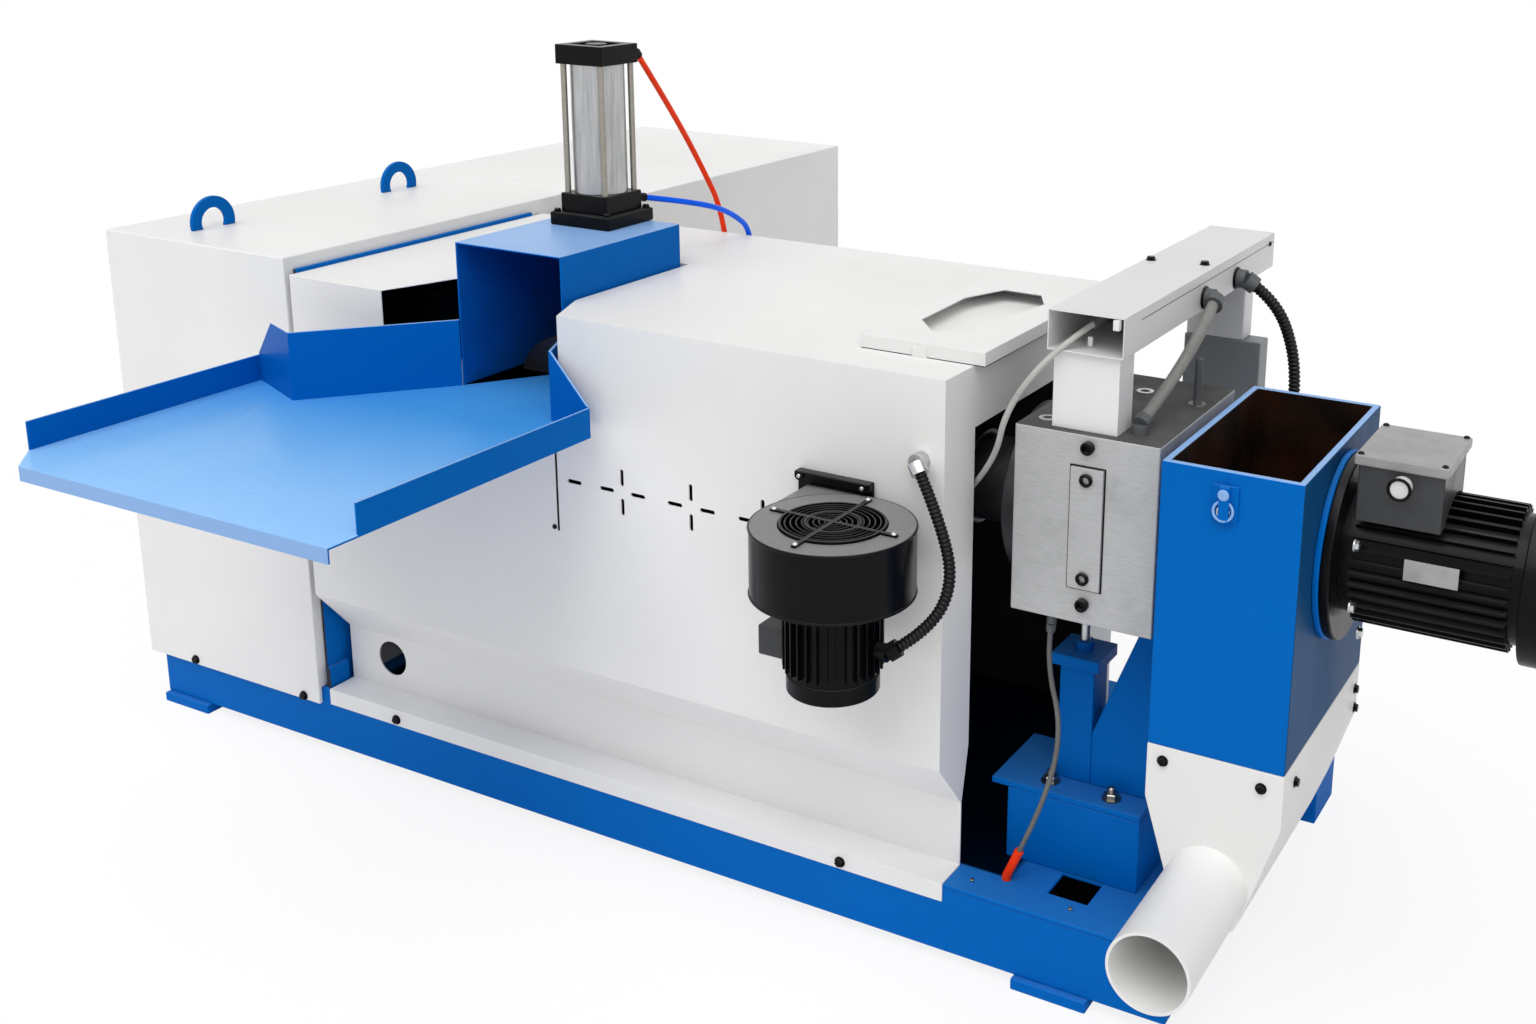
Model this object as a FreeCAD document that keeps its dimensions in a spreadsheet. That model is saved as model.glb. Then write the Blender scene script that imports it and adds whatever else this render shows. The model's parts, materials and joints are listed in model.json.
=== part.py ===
import FreeCAD, Part
import math
import os
import re
import Sketcher

# Plastic pelletizing machine: a feed tray and hood, an extruder barrel under a
# sheet-metal cover, a die block, a cutter box with its motor and a drive cabinet.
# Frame: +X runs along the machine from the cabinet to the cutter motor, +Y runs
# from the front of the base to the rear, +Z is up. The origin is the front left
# corner of the base frame at floor level.

SIZES = {
    # base frame
    "base_tail": 414,
    "base_ledge": 113,
    "base_top": 152,
    "foot_height": 21,
    "foot_length": 139,
    "foot_reach": 12,
    "beam_width": 64,
    "deck_thickness": 8,
    "wing_length": 640,
    "wing_inset": 48,
    "access_hole_length": 73,
    "access_hole_depth": 68,
    "access_hole_left": 113,
    "access_hole_gap": 3,
    "outrigger_length": 137,
    "outrigger_reach": 37,
    "outrigger_near": 757,
    "outrigger_depth": 132,
    "side_plate_near": 12,
    "side_plate_depth": 700,
    "side_plate_top": 1061,
    "side_rail_thickness": 12,
    "side_rail_height": 45,
    "side_rail_near": 5,
    "side_rail_far": 60,
    # drive cabinet
    "cabinet_overhang": 34,
    "cabinet_width": 531,
    "cabinet_near_overhang": 10,
    "cabinet_rear_gap": 133,
    "cabinet_rear_width": 695,
    "cabinet_rear_depth": 958,
    "cabinet_top": 1087,
    "cabinet_skirt": 116,
    "eye_radius": 55,
    "eye_height": 68,
    "eye_thickness": 10,
    "eye_depth": 125,
    "eye_pitch": 535,
    "eye_hole_radius": 30,
    "eye_inset": 164,
    # gearbox cover between the cabinet and the hood
    "gearbox_cover_gap": 8,
    "gearbox_cover_width": 247,
    "gearbox_cover_top": 1053,
    "gearbox_cover_near": 5,
    "gearbox_cover_run": 155,
    "gearbox_cover_flare": 53,
    "gearbox_inset": 40,
    "gearbox_near": 140,
    "gearbox_depth": 420,
    "gearbox_height": 150,
    # barrel cover
    "sheet": 3,
    "cover_gap": 25,
    "cover_length": 1464,
    "cover_near_overhang": 19,
    "cover_depth": 766,
    "cover_top": 1065,
    "cover_step": 675,
    "cover_corner_run": 46,
    "cover_corner_rise": 108,
    "cover_fold": 377,
    "recess_depth": 83,
    "recess_top": 277,
    "lip_bottom": 120,
    "end_rim": 108,
    "port_radius": 38,
    "port_inset": 119,
    "port_height": 226,
    "hood_clearance": 20,
    "vent_pitch": 151.5,
    "vent_left": 659,
    "vent_height": 754,
    "vent_gap": 19,
    "vent_rise": 12,
    "vent_first": 26,
    "vent_length": 32,
    "vent_width": 8,
    "vent_corner": 2.5,
    "seam_bottom": 651,
    "seam_top": 806,
    "seam_width": 3,
    # feed tray and hood
    "tray_height": 868,
    "tray_sheet": 4,
    "tray_left": 530,
    "tray_right": 1300,
    "tray_reach": 660,
    "tray_corner": 60,
    "tray_wall": 52,
    "tray_lip": 22,
    "funnel_wall": 132,
    "fin_run": 158,
    "fin_near": 176,
    "fin_far": 112,
    "throat_run": 113,
    "throat_near": 60,
    "throat_far": 25,
    "throat_start": 200,
    "throat_inset": 10,
    "hood_left": 889,
    "hood_width": 257,
    "hood_near": 58,
    "hood_depth": 364,
    "hood_top": 1152,
    "roller_x": 1021,
    "roller_z": 832,
    "roller_radius": 117,
    "roller_gap": 4,
    # pneumatic cylinder on the hood
    "ram_x": 1003,
    "ram_y": 356,
    "ram_flange": 146,
    "ram_flange_thickness": 26,
    "ram_cap": 114,
    "ram_cap_height": 38,
    "ram_tube_radius": 53,
    "ram_tube_length": 256,
    "tie_rod_radius": 6,
    "tie_rod_offset": 46,
    "ram_eye_side": 76,
    "ram_boss_radius": 21,
    "ram_eye_depth": 9,
    "air_fitting_radius": 9,
    "air_fitting_reach": 12,
    "air_fitting_shift": 43,
    "valve_left": 1005,
    "valve_length": 110,
    "valve_depth": 58,
    "valve_bottom": 850,
    "valve_height": 55,
    "valve_port_gap": 30,
    "valve_port_pitch": 55,
    "valve_port_length": 20,
    "air_tube_diameter": 12,
    # extruder
    "axis_y": 225,
    "axis_z": 822,
    "barrel_radius": 75,
    "barrel_flange_radius": 150,
    "barrel_flange_thickness": 36,
    "die_gap": 93,
    "die_length": 248,
    "die_depth": 360,
    "die_bottom": 672,
    "die_height": 321,
    "slot_share": 0.52,
    "slot_width": 58,
    "slot_bottom": 733,
    "slot_height": 207,
    "slide_clearance": 1,
    "slide_proud": 5,
    "slide_length": 640,
    "collar_radius": 110,
    "collar_length": 18,
    "heater_radius": 84,
    "heater_length": 60,
    "heater_gap": 100,
    "heater_block": 40,
    "heater_block_depth": 28,
    "conduit_diameter": 20,
    "socket_radius": 14,
    "socket_reach": 15,
    "socket_inset": 54,
    "socket_y": 96,
    "sensor_radius": 7,
    "sensor_height": 80,
    "sensor_inset": 28,
    "sensor_y": 289,
    "gland_radius": 17,
    "gland_reach": 20,
    "near_gland_y": 420,
    "far_gland_y": 593,
    "gland_height": 22,
    "cutter_gland_x": 40,
    "cutter_gland_height": 850,
    "cutter_conduit_diameter": 22,
    "wire_diameter": 10,
    "wire_fitting_radius": 8,
    "wire_fitting_reach": 18,
    "wire_x": 62,
    "wire_y": 110,
    "earth_cable_diameter": 9,
    "earth_x": 67,
    "earth_y": 64,
    "lug_radius": 8,
    "lug_foot": 8,
    "lug_length": 62,
    "lug_setback": 3,
    "lug_y": 68,
    # cutter box, motor and outlet
    "cutter_length": 222,
    "cutter_depth": 450,
    "cutter_bottom": 520,
    "cutter_top": 991,
    "cutter_wall": 12,
    "motor_ring_radius": 152,
    "motor_ring_length": 10,
    "motor_flange_radius": 150,
    "motor_flange_length": 16,
    "motor_radius": 114,
    "motor_length": 270,
    "motor_fin_height": 13,
    "motor_fin_width": 4,
    "motor_fin_gap": 18,
    "motor_fins": 36,
    "cowl_radius": 128,
    "cowl_length": 100,
    "terminal_length": 128,
    "terminal_depth": 160,
    "terminal_height": 60,
    "terminal_sink": 30,
    "terminal_shift": 25,
    "terminal_offset": 20,
    "terminal_lid_height": 16,
    "terminal_lid_reach": 6,
    "motor_gland_radius": 15,
    "motor_gland_length": 22,
    "motor_gland_drop": 22,
    "motor_gland_x": 67,
    "latch_width": 40,
    "latch_height": 57,
    "latch_bottom": 913,
    "latch_shift": 84,
    "latch_plate": 4,
    "latch_lever": 16,
    "chute_band": 92,
    "chute_sheet": 5,
    "chute_rim": 6,
    "chute_foot": 46,
    "outlet_radius": 66,
    "outlet_height": 302,
    "outlet_length": 260,
    # support under the die
    "pedestal_lead": 37,
    "pedestal_length": 248,
    "pedestal_depth": 180,
    "pedestal_height": 136,
    "plate_overhang": 32,
    "plate_thickness": 12,
    "post_share": 0.4,
    "post_side": 64,
    "post_height": 219,
    "post_cap_side": 88,
    "post_cap_height": 21,
    "jack_radius": 10,
    "gusset_thickness": 10,
    "gusset_waist": 99,
    "gusset_run": 104,
    "gusset_gap": 4,
    "cap_boss_radius": 17,
    "cap_boss_height": 16,
    # cable tray over the die
    "duct_inset": 49,
    "duct_width": 129,
    "duct_bottom": 1121,
    "duct_height": 66,
    "duct_near": 50,
    "duct_length": 770,
    "duct_sheet": 2,
    "leg_width": 112,
    "leg_depth": 60,
    "leg_inset": 15,
    # slide drive behind the die
    "drive_plate_thickness": 50,
    "drive_plate_width": 150,
    "drive_plate_top": 1002,
    "drive_radius": 42,
    "slide_tail": 60,
    # cooling blower
    "blower_inset": 120,
    "blower_reach": 146,
    "blower_radius": 133,
    "blower_top": 850,
    "blower_height": 114,
    "blower_eye_radius": 88,
    "blower_motor_radius": 82,
    "blower_motor_height": 136,
    "blower_fins": 30,
    "blower_fin_height": 9,
    "blower_fin_width": 3,
    "blower_cap_height": 30,
    "blower_cap_inset": 6,
    "blower_eye_depth": 40,
    "outlet_width": 120,
    "outlet_inset": 3,
    "blower_flange_width": 146,
    "blower_flange_overhang": 21,
    "blower_flange_bottom": 732,
    "blower_flange_top": 872,
    "blower_flange_thickness": 8,
    "blower_bar_height": 14,
    "blower_bar_depth": 20,
    "blower_box_reach": 47,
    "blower_box_sink": 20,
    "blower_box_depth": 46,
    "blower_box_height": 52,
    "blower_box_bottom": 606,
    "grille_wire": 4,
    "grille_radius": 86,
    "grille_middle": 46,
    "grille_spoke": 8,
    "grille_reach": 116,
    "ferrule_radius": 15,
    "ferrule_reach": 20,
    "ferrule_inset": 41,
    "ferrule_height": 926,
    "motor_lead_height": 652,
    # cutter box lid, laid on the cover
    "lid_length": 235,
    "lid_depth": 482,
    "lid_height": 25,
    "lid_overhang": 20,
    "lid_near": 100,
    "window_left": 35,
    "window_near": 77,
    "window_length": 147,
    "window_depth": 336,
    "clip_left": 100,
    "clip_width": 27,
    "clip_height": 17,
    "clip_thickness": 3,
}

doc = FreeCAD.newDocument("pelletizer")
sheet = doc.addObject("Spreadsheet::Sheet", "Sizes")
for row, (size_name, size_value) in enumerate(SIZES.items(), 1):
    sheet.set(f"A{row}", size_name)
    sheet.set(f"B{row}", str(size_value))
    sheet.setAlias(f"B{row}", size_name)
doc.recompute()

# Derived places along the machine
CABINET_RIGHT = "(cabinet_width - cabinet_overhang)"
COVER_LEFT = f"({CABINET_RIGHT} + cover_gap)"
COVER_STEP = f"({COVER_LEFT} + cover_step)"
COVER_RIGHT = f"({COVER_LEFT} + cover_length)"
COVER_FAR = "(cover_depth - cover_near_overhang)"
CABINET_REAR = f"({COVER_FAR} + cabinet_rear_gap)"
BASE_RIGHT = f"({COVER_RIGHT} + base_tail)"
BASE_FAR = f"({COVER_FAR} + base_ledge)"
WING_FAR = f"({CABINET_REAR} + cabinet_rear_depth - wing_inset)"
DIE_LEFT = f"({COVER_RIGHT} + die_gap)"
DIE_RIGHT = f"({DIE_LEFT} + die_length)"
DIE_NEAR = "(axis_y - die_depth / 2)"
DIE_TOP = "(die_bottom + die_height)"
CUTTER_LEFT = f"({DIE_RIGHT} + collar_length)"
CUTTER_RIGHT = f"({CUTTER_LEFT} + cutter_length)"
CUTTER_NEAR = "(axis_y - cutter_depth / 2)"
MOTOR_LEFT = f"({CUTTER_RIGHT} + motor_ring_length + motor_flange_length)"
TRAY_UNDER = "(tray_height - tray_sheet)"
HOOD_RIGHT = "(hood_left + hood_width)"
HOOD_FAR = "(hood_near + hood_depth)"
SLIDE_X = f"({DIE_LEFT} + slot_share * die_length)"
PEDESTAL_LEFT = f"({DIE_LEFT} - pedestal_lead)"
DUCT_LEFT = f"({DIE_LEFT} + duct_inset)"
DUCT_RIGHT = f"({DUCT_LEFT} + duct_width)"
BLOWER_X = f"({COVER_RIGHT} - blower_inset)"
HEATER_LEFT = f"({DIE_LEFT} - barrel_flange_thickness - heater_gap - heater_length)"
PLATE_TOP = "(base_top + pedestal_height + plate_thickness)"
CAP_TOP = f"({PLATE_TOP} + post_height + post_cap_height)"
POST_X = f"({PEDESTAL_LEFT} + pedestal_length * post_share)"
VENT_LOW = "vent_height - vent_width / 2"
BLOWER_Y = "(-cover_near_overhang - blower_reach)"
BLOWER_BOTTOM = "(blower_top - blower_height)"

# Outline of the lid's window in shares of its length and depth
WINDOW_OUTLINE = [(0.41, 0), (0.78, 0.08), (1, 0.8), (0.76, 0.99), (0.24, 1), (0, 0.72), (0.05, 0.18)]

# Bends of the cords between their fittings, each from its own anchor along X
RED_BENDS = [(1027, 555, 1367), (1012, 672, 1240), (1020, 764, 1092)]
BLUE_BENDS = [(1092, 545, 1172), (1098, 668, 1133), (1080, 788, 1062)]
BLOWER_BENDS = [(29, -74, 836), (61, -101, 762), (42, -134, 698)]
DIE_BENDS = [(215, 262, 1082)]
CUTTER_BENDS = [(252, 614, 1100), (280, 642, 1010), (290, 634, 924), (299, 570, 856)]
WIRE_BENDS = [(64, 30, 1122), (-7, 22, 1020), (-43, 64, 912)]
EARTH_BENDS = [(47, 97, 560), (86, 82, 455), (68, 58, 326)]

AXES = {
    "X": FreeCAD.Rotation(FreeCAD.Vector(0, 1, 0), 90),
    "Y": FreeCAD.Rotation(FreeCAD.Vector(1, 0, 0), -90),
    "Z": FreeCAD.Rotation(),
}
OUT_RIGHT = FreeCAD.Vector(1, 0, 0)
OUT_FAR = FreeCAD.Vector(0, 1, 0)
OUT_NEAR = FreeCAD.Vector(0, -1, 0)
OUT_UP = FreeCAD.Vector(0, 0, 1)
OUT_DOWN = FreeCAD.Vector(0, 0, -1)
FUNCTIONS = ("sqrt", "sin", "cos")
ROUND_SHARE = 0.45
VOLUME_SLACK = 0.01
parts = []
fittings = []


def formula(text):
    """Write a size formula with the sheet's name before each size."""
    def name(found):
        word = found.group(0)
        return word if word in FUNCTIONS else "Sizes." + word
    return re.sub(r"[a-z]\w*", name, str(text))


def size(name):
    return sheet.get(name)


def bind(item, **places):
    for prop, text in places.items():
        item.setExpression(prop.replace("__", "."), formula(text))


def put(item, x, y, z):
    bind(item, Placement__Base__x=x, Placement__Base__y=y, Placement__Base__z=z)
    return item


def node(item, label):
    item.Label = label
    parts.append(item)
    return item


def box(x, y, z, length, width, height):
    item = doc.addObject("Part::Box", "Box")
    bind(item, Length=length, Width=width, Height=height)
    return put(item, x, y, z)


def rod(axis, x, y, z, radius, length):
    item = doc.addObject("Part::Cylinder", "Rod")
    item.Placement = FreeCAD.Placement(FreeCAD.Vector(), AXES[axis])
    bind(item, Radius=radius, Height=length)
    return put(item, x, y, z)


def cut(base, *tools):
    for tool in tools:
        item = doc.addObject("Part::Cut", "Cut")
        item.Base = base
        item.Tool = tool
        base = item
    return base


def fuse(*pieces):
    item = doc.addObject("Part::MultiFuse", "Fuse")
    item.Shapes = list(pieces)
    return item


def group(*pieces):
    item = doc.addObject("Part::Compound", "Group")
    item.Links = list(pieces)
    return item


def new_body(name):
    return doc.addObject("PartDesign::Body", name)


def fix_point(sketch, edge, end, u, v):
    for kind, text in (("DistanceX", u), ("DistanceY", v)):
        number = sketch.addConstraint(Sketcher.Constraint(kind, -1, 1, edge, end, 1.0))
        sketch.setExpression(f"Constraints[{number}]", formula(text))


def add_polygon(sketch, corners):
    count = len(corners)
    first = sketch.GeometryCount
    turns = [2 * math.pi * place / count for place in range(count)]
    spots = [FreeCAD.Vector(math.cos(turn), math.sin(turn), 0) for turn in turns]
    for place in range(count):
        sketch.addGeometry(Part.LineSegment(spots[place], spots[(place + 1) % count]))
    for place in range(count):
        following = first + (place + 1) % count
        sketch.addConstraint(Sketcher.Constraint("Coincident", first + place, 2, following, 1))
    for place, (u, v) in enumerate(corners):
        fix_point(sketch, first + place, 1, u, v)


def add_circle(sketch, u, v, radius):
    edge = sketch.addGeometry(Part.Circle(FreeCAD.Vector(), FreeCAD.Vector(0, 0, 1), 1))
    fix_point(sketch, edge, 3, u, v)
    number = sketch.addConstraint(Sketcher.Constraint("Radius", edge, 1.0))
    sketch.setExpression(f"Constraints[{number}]", formula(radius))


def draw(body, plane, level, loops):
    """Sketch closed loops on a plane of the body, at a level along its axis."""
    origin = [item for item in body.Origin.OriginFeatures if item.Role == plane + "_Plane"][0]
    sketch = body.newObject("Sketcher::SketchObject", "Outline")
    sketch.AttachmentSupport = (origin, [""])
    sketch.MapMode = "FlatFace"
    height = f"-({level})" if plane == "XZ" else f"({level})"
    sketch.setExpression("AttachmentOffset.Base.z", formula(height))
    for loop in loops:
        if isinstance(loop[0], str):
            add_circle(sketch, *loop)
        else:
            add_polygon(sketch, loop)
    return sketch


def pad(body, plane, level, length, *loops):
    """Add material from a level towards the plane's positive axis."""
    item = body.newObject("PartDesign::Pad", "Pad")
    item.Profile = draw(body, plane, level, loops)
    item.Reversed = plane == "XZ"
    bind(item, Length=length)
    doc.recompute()
    return item


def pocket(body, plane, level, length, *loops):
    """Take material from a level towards the plane's positive axis."""
    before = body.Shape.Volume
    item = body.newObject("PartDesign::Pocket", "Pocket")
    item.Profile = draw(body, plane, level, loops)
    item.Reversed = plane != "XZ"
    bind(item, Length=length)
    doc.recompute()
    if not body.Shape.Volume < before:
        raise RuntimeError(f"a pocket in {body.Name} cuts nothing")
    return item


def repeat_around(body, feature, axis, count):
    """Repeat a feature round an axis of the body's origin."""
    line = [item for item in body.Origin.OriginFeatures if item.Role == axis + "_Axis"][0]
    pattern = body.newObject("PartDesign::PolarPattern", "Pattern")
    pattern.Originals = [feature]
    pattern.Axis = (line, [""])
    pattern.Angle = 360
    bind(pattern, Occurrences=count)
    body.Tip = pattern
    doc.recompute()


def value(text):
    """Work out a size formula as a number."""
    sheet.set("D1", f"={text}")
    sheet.recompute()
    return sheet.get("D1")


def spot(x, y, z):
    return FreeCAD.Vector(value(x), value(y), value(z))


def joint(start, end, radius):
    """A round bar between two points."""
    item = doc.addObject("Part::Cylinder", "Joint")
    item.Placement = FreeCAD.Placement(start, FreeCAD.Rotation(FreeCAD.Vector(0, 0, 1), end - start))
    item.Height = (end - start).Length
    bind(item, Radius=radius)
    return item


def elbow(surface, axis, towards, radius, foot, arm):
    """A round fitting that stands on a surface and turns towards a point, with its far end."""
    turn = surface + axis * value(foot)
    end = turn + (towards - turn).normalize() * value(arm)
    return fuse(joint(surface, turn, radius), joint(turn, end, radius)), end


def bends(anchor, table):
    return [FreeCAD.Vector(value(anchor) + x, y, z) for x, y, z in table]


def cord(label, diameter, route):
    """A plain tube of straight runs joined by tangent arcs along a route."""
    points = list(route)
    radius = value(diameter) / 2
    edges = []
    radii = []
    last = points[0]
    for before, corner, after in zip(points, points[1:], points[2:]):
        arrive = (corner - before).normalize()
        leave = (after - corner).normalize()
        half_turn = arrive.getAngle(leave) / 2
        reach = ROUND_SHARE * min((corner - before).Length, (after - corner).Length)
        radii.append(reach / math.tan(half_turn))
        start = corner - arrive * reach
        end = corner + leave * reach
        inward = (leave - arrive).normalize()
        middle = corner + inward * (radii[-1] / math.cos(half_turn) - radii[-1])
        edges.append(Part.LineSegment(last, start).toShape())
        edges.append(Part.Arc(start, middle, end).toShape())
        last = end
    edges.append(Part.LineSegment(last, points[-1]).toShape())
    path = Part.Wire(edges)
    section = Part.Wire([Part.makeCircle(radius, points[0], points[1] - points[0])])
    shape = path.makePipeShell([section], True, False)
    expected = math.pi * radius ** 2 * path.Length
    if abs(shape.Volume - expected) > VOLUME_SLACK * expected:
        raise RuntimeError(f"{label} is pinched: {shape.Volume} against {expected}")
    item = doc.addObject("Part::Feature", "Cord")
    item.Shape = shape
    print(label, "length", round(path.Length), "radii", [round(bend) for bend in radii])
    ends = [[round(place, 1) for place in point] for point in (points[0], points[-1])]
    print(label, "from", ends[0], "to", ends[1])
    return node(item, label)


def hollow_out(body, wall, is_open):
    """Turn the body into a sheet shell, open at the faces that pass a test."""
    solid = body.Tip
    faces = [f"Face{number}" for number, face in enumerate(solid.Shape.Faces, 1) if is_open(face)]
    shell = body.newObject("PartDesign::Thickness", "Shell")
    shell.Base = (solid, faces)
    bind(shell, Value=wall)
    shell.Reversed = True
    shell.Mode = 0
    shell.Join = 1
    doc.recompute()
    return shell


def strip(u, v, far_u, far_v, step_u, step_v):
    """Outline the plan of a thin wall between two corners, stepped aside for its thickness."""
    return [
        (u, v),
        (far_u, far_v),
        (f"{far_u} + ({step_u})", f"{far_v} + ({step_v})"),
        (f"{u} + ({step_u})", f"{v} + ({step_v})"),
    ]


def rectangle(u, v, width, height):
    return [(u, v), (f"{u} + {width}", v), (f"{u} + {width}", f"{v} + {height}"), (u, f"{v} + {height}")]


# Base frame
def base_plan(inset):
    return [
        (inset, inset),
        (f"{BASE_RIGHT} - {inset}", inset),
        (f"{BASE_RIGHT} - {inset}", f"{BASE_FAR} - {inset}"),
        (f"wing_length - {inset}", f"{BASE_FAR} - {inset}"),
        (f"wing_length - {inset}", f"{WING_FAR} - {inset}"),
        (inset, f"{WING_FAR} - {inset}"),
    ]


def make_base_frame():
    body = new_body("base_frame")
    height = "base_top - deck_thickness - foot_height"
    pad(body, "XY", "foot_height", height, base_plan("0"))
    bay = f"{BASE_FAR} - 2 * beam_width"
    left = rectangle("beam_width", "beam_width", "wing_length - 2 * beam_width", bay)
    middle = rectangle("wing_length", "beam_width", f"{PEDESTAL_LEFT} - wing_length - beam_width", bay)
    right = rectangle(PEDESTAL_LEFT, "beam_width", f"{BASE_RIGHT} - beam_width - {PEDESTAL_LEFT}", bay)
    rear_depth = f"{WING_FAR} - {BASE_FAR} - beam_width"
    rear = rectangle("beam_width", BASE_FAR, "wing_length - 2 * beam_width", rear_depth)
    pocket(body, "XY", "foot_height", height, left, middle, right, rear)
    outrigger_left = f"({BASE_RIGHT} + outrigger_reach - outrigger_length)"
    outrigger = rectangle(outrigger_left, "outrigger_near", "outrigger_length", "outrigger_depth")
    pad(body, "XY", "0", "base_top - deck_thickness", outrigger)
    node(body, "base_frame")


def make_base_deck():
    body = new_body("base_deck")
    pad(body, "XY", "base_top - deck_thickness", "deck_thickness", base_plan("0"))
    hole_left = f"{PEDESTAL_LEFT} + access_hole_left"
    hole = rectangle(hole_left, "beam_width + access_hole_gap", "access_hole_length", "access_hole_depth")
    pocket(body, "XY", "base_top - deck_thickness", "deck_thickness", hole)
    node(body, "base_deck")


def make_base_feet():
    reach = "beam_width + foot_reach"
    near = "-foot_reach"
    rear = f"{WING_FAR} - beam_width"
    corners = [
        ("0", near),
        (f"{BASE_RIGHT} - outrigger_length - foot_length", near),
        ("0", rear),
        ("wing_length - foot_length", rear),
    ]
    feet = [box(x, y, "0", "foot_length", reach, "foot_height") for x, y in corners]
    node(group(*feet), "base_feet")


def make_side_plate():
    plate = box(
        CABINET_RIGHT,
        "side_plate_near",
        "base_top",
        "gearbox_cover_gap",
        "side_plate_depth",
        "side_plate_top - base_top",
    )
    rail = box(
        f"{CABINET_RIGHT} + gearbox_cover_gap",
        "side_rail_near",
        "base_top",
        "side_rail_thickness",
        "side_rail_far - side_rail_near",
        "side_rail_height",
    )
    node(fuse(plate, rail), "side_plate")


# Drive cabinet
def make_cabinet():
    body = new_body("drive_cabinet")
    depth = f"{CABINET_REAR} + cabinet_near_overhang"
    near = rectangle("-cabinet_overhang", "-cabinet_near_overhang", "cabinet_width", depth)
    pad(body, "XY", "cabinet_skirt", "cabinet_top - cabinet_skirt", near)
    below = rectangle("0", "0", "cabinet_width", CABINET_REAR)
    pocket(body, "XY", "cabinet_skirt", "base_top - cabinet_skirt", below)
    node(body, "drive_cabinet")
    height = "cabinet_top - base_top"
    size = ("cabinet_rear_width", "cabinet_rear_depth", height)
    item = box("-cabinet_overhang", CABINET_REAR, "base_top", *size)
    node(item, "rear_cabinet")


def make_lifting_eyes():
    eyes = []
    for count in range(2):
        y = f"eye_depth + {count} * eye_pitch"
        x = "eye_inset - cabinet_overhang"
        disc = rod("X", x, y, "cabinet_top + eye_height - eye_radius", "eye_radius", "eye_thickness")
        hole = rod("X", x, y, "cabinet_top + eye_height - eye_radius", "eye_hole_radius", "eye_thickness")
        keep = box(x, f"{y} - eye_radius", "cabinet_top", "eye_thickness", "2 * eye_radius", "eye_height")
        common = doc.addObject("Part::Common", "Eye")
        common.Base = disc
        common.Tool = keep
        eyes.append(cut(common, hole))
    node(group(*eyes), "lifting_eyes")


# Gearbox cover
def make_gearbox_cover():
    left = f"({CABINET_RIGHT} + gearbox_cover_gap)"
    near = "-gearbox_cover_near"
    corner = f"({left} + gearbox_cover_width)"
    bottom = TRAY_UNDER
    height = f"gearbox_cover_top - {bottom}"
    flare = "(gearbox_cover_flare / gearbox_cover_run)"
    far_x = "(hood_left - tray_sheet)"
    far_y = f"(({far_x} - {corner}) / {flare} - gearbox_cover_near)"
    plan = [(left, near), (corner, near), (far_x, far_y), (far_x, COVER_FAR), (left, COVER_FAR)]
    body = new_body("gearbox_cover")
    pad(body, "XY", bottom, height, plan)
    inner = [
        (f"{left} + sheet", f"{near} + sheet"),
        (f"{corner} + sheet", f"{near} + sheet"),
        (f"{far_x} + sheet * 4", f"{far_y} + sheet"),
        (f"{far_x} + sheet * 4", f"{COVER_FAR} - sheet"),
        (f"{left} + sheet", f"{COVER_FAR} - sheet"),
    ]
    pocket(body, "XY", bottom, f"{height} - sheet", inner)
    node(body, "gearbox_cover")
    length = "gearbox_cover_width - gearbox_inset"
    size = (length, "gearbox_depth", "gearbox_height")
    block = box(f"{left} + gearbox_inset", "gearbox_near", TRAY_UNDER, *size)
    node(block, "gearbox")


# Barrel cover
def throat_plan():
    length = "hood_width - 2 * throat_inset"
    return rectangle("hood_left + throat_inset", "throat_start", length, f"{HOOD_FAR} - throat_start")


def vent_slot(u, v, width, height):
    """Outline a slot with its corners taken off."""
    right = f"{u} + {width}"
    top = f"{v} + {height}"
    corner = "vent_corner"
    return [
        (f"{u} + {corner}", v),
        (f"{right} - {corner}", v),
        (right, f"{v} + {corner}"),
        (right, f"{top} - {corner}"),
        (f"{right} - {corner}", top),
        (f"{u} + {corner}", top),
        (u, f"{top} - {corner}"),
        (u, f"{v} + {corner}"),
    ]


def vent_cross(middle):
    side = f"{middle} - vent_width / 2"
    return [
        vent_slot(f"{middle} - vent_gap - vent_length", VENT_LOW, "vent_length", "vent_width"),
        vent_slot(f"{middle} + vent_gap", VENT_LOW, "vent_length", "vent_width"),
        vent_slot(side, "vent_height + vent_rise", "vent_width", "vent_length"),
        vent_slot(side, "vent_height - vent_rise - vent_length", "vent_width", "vent_length"),
    ]


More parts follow.
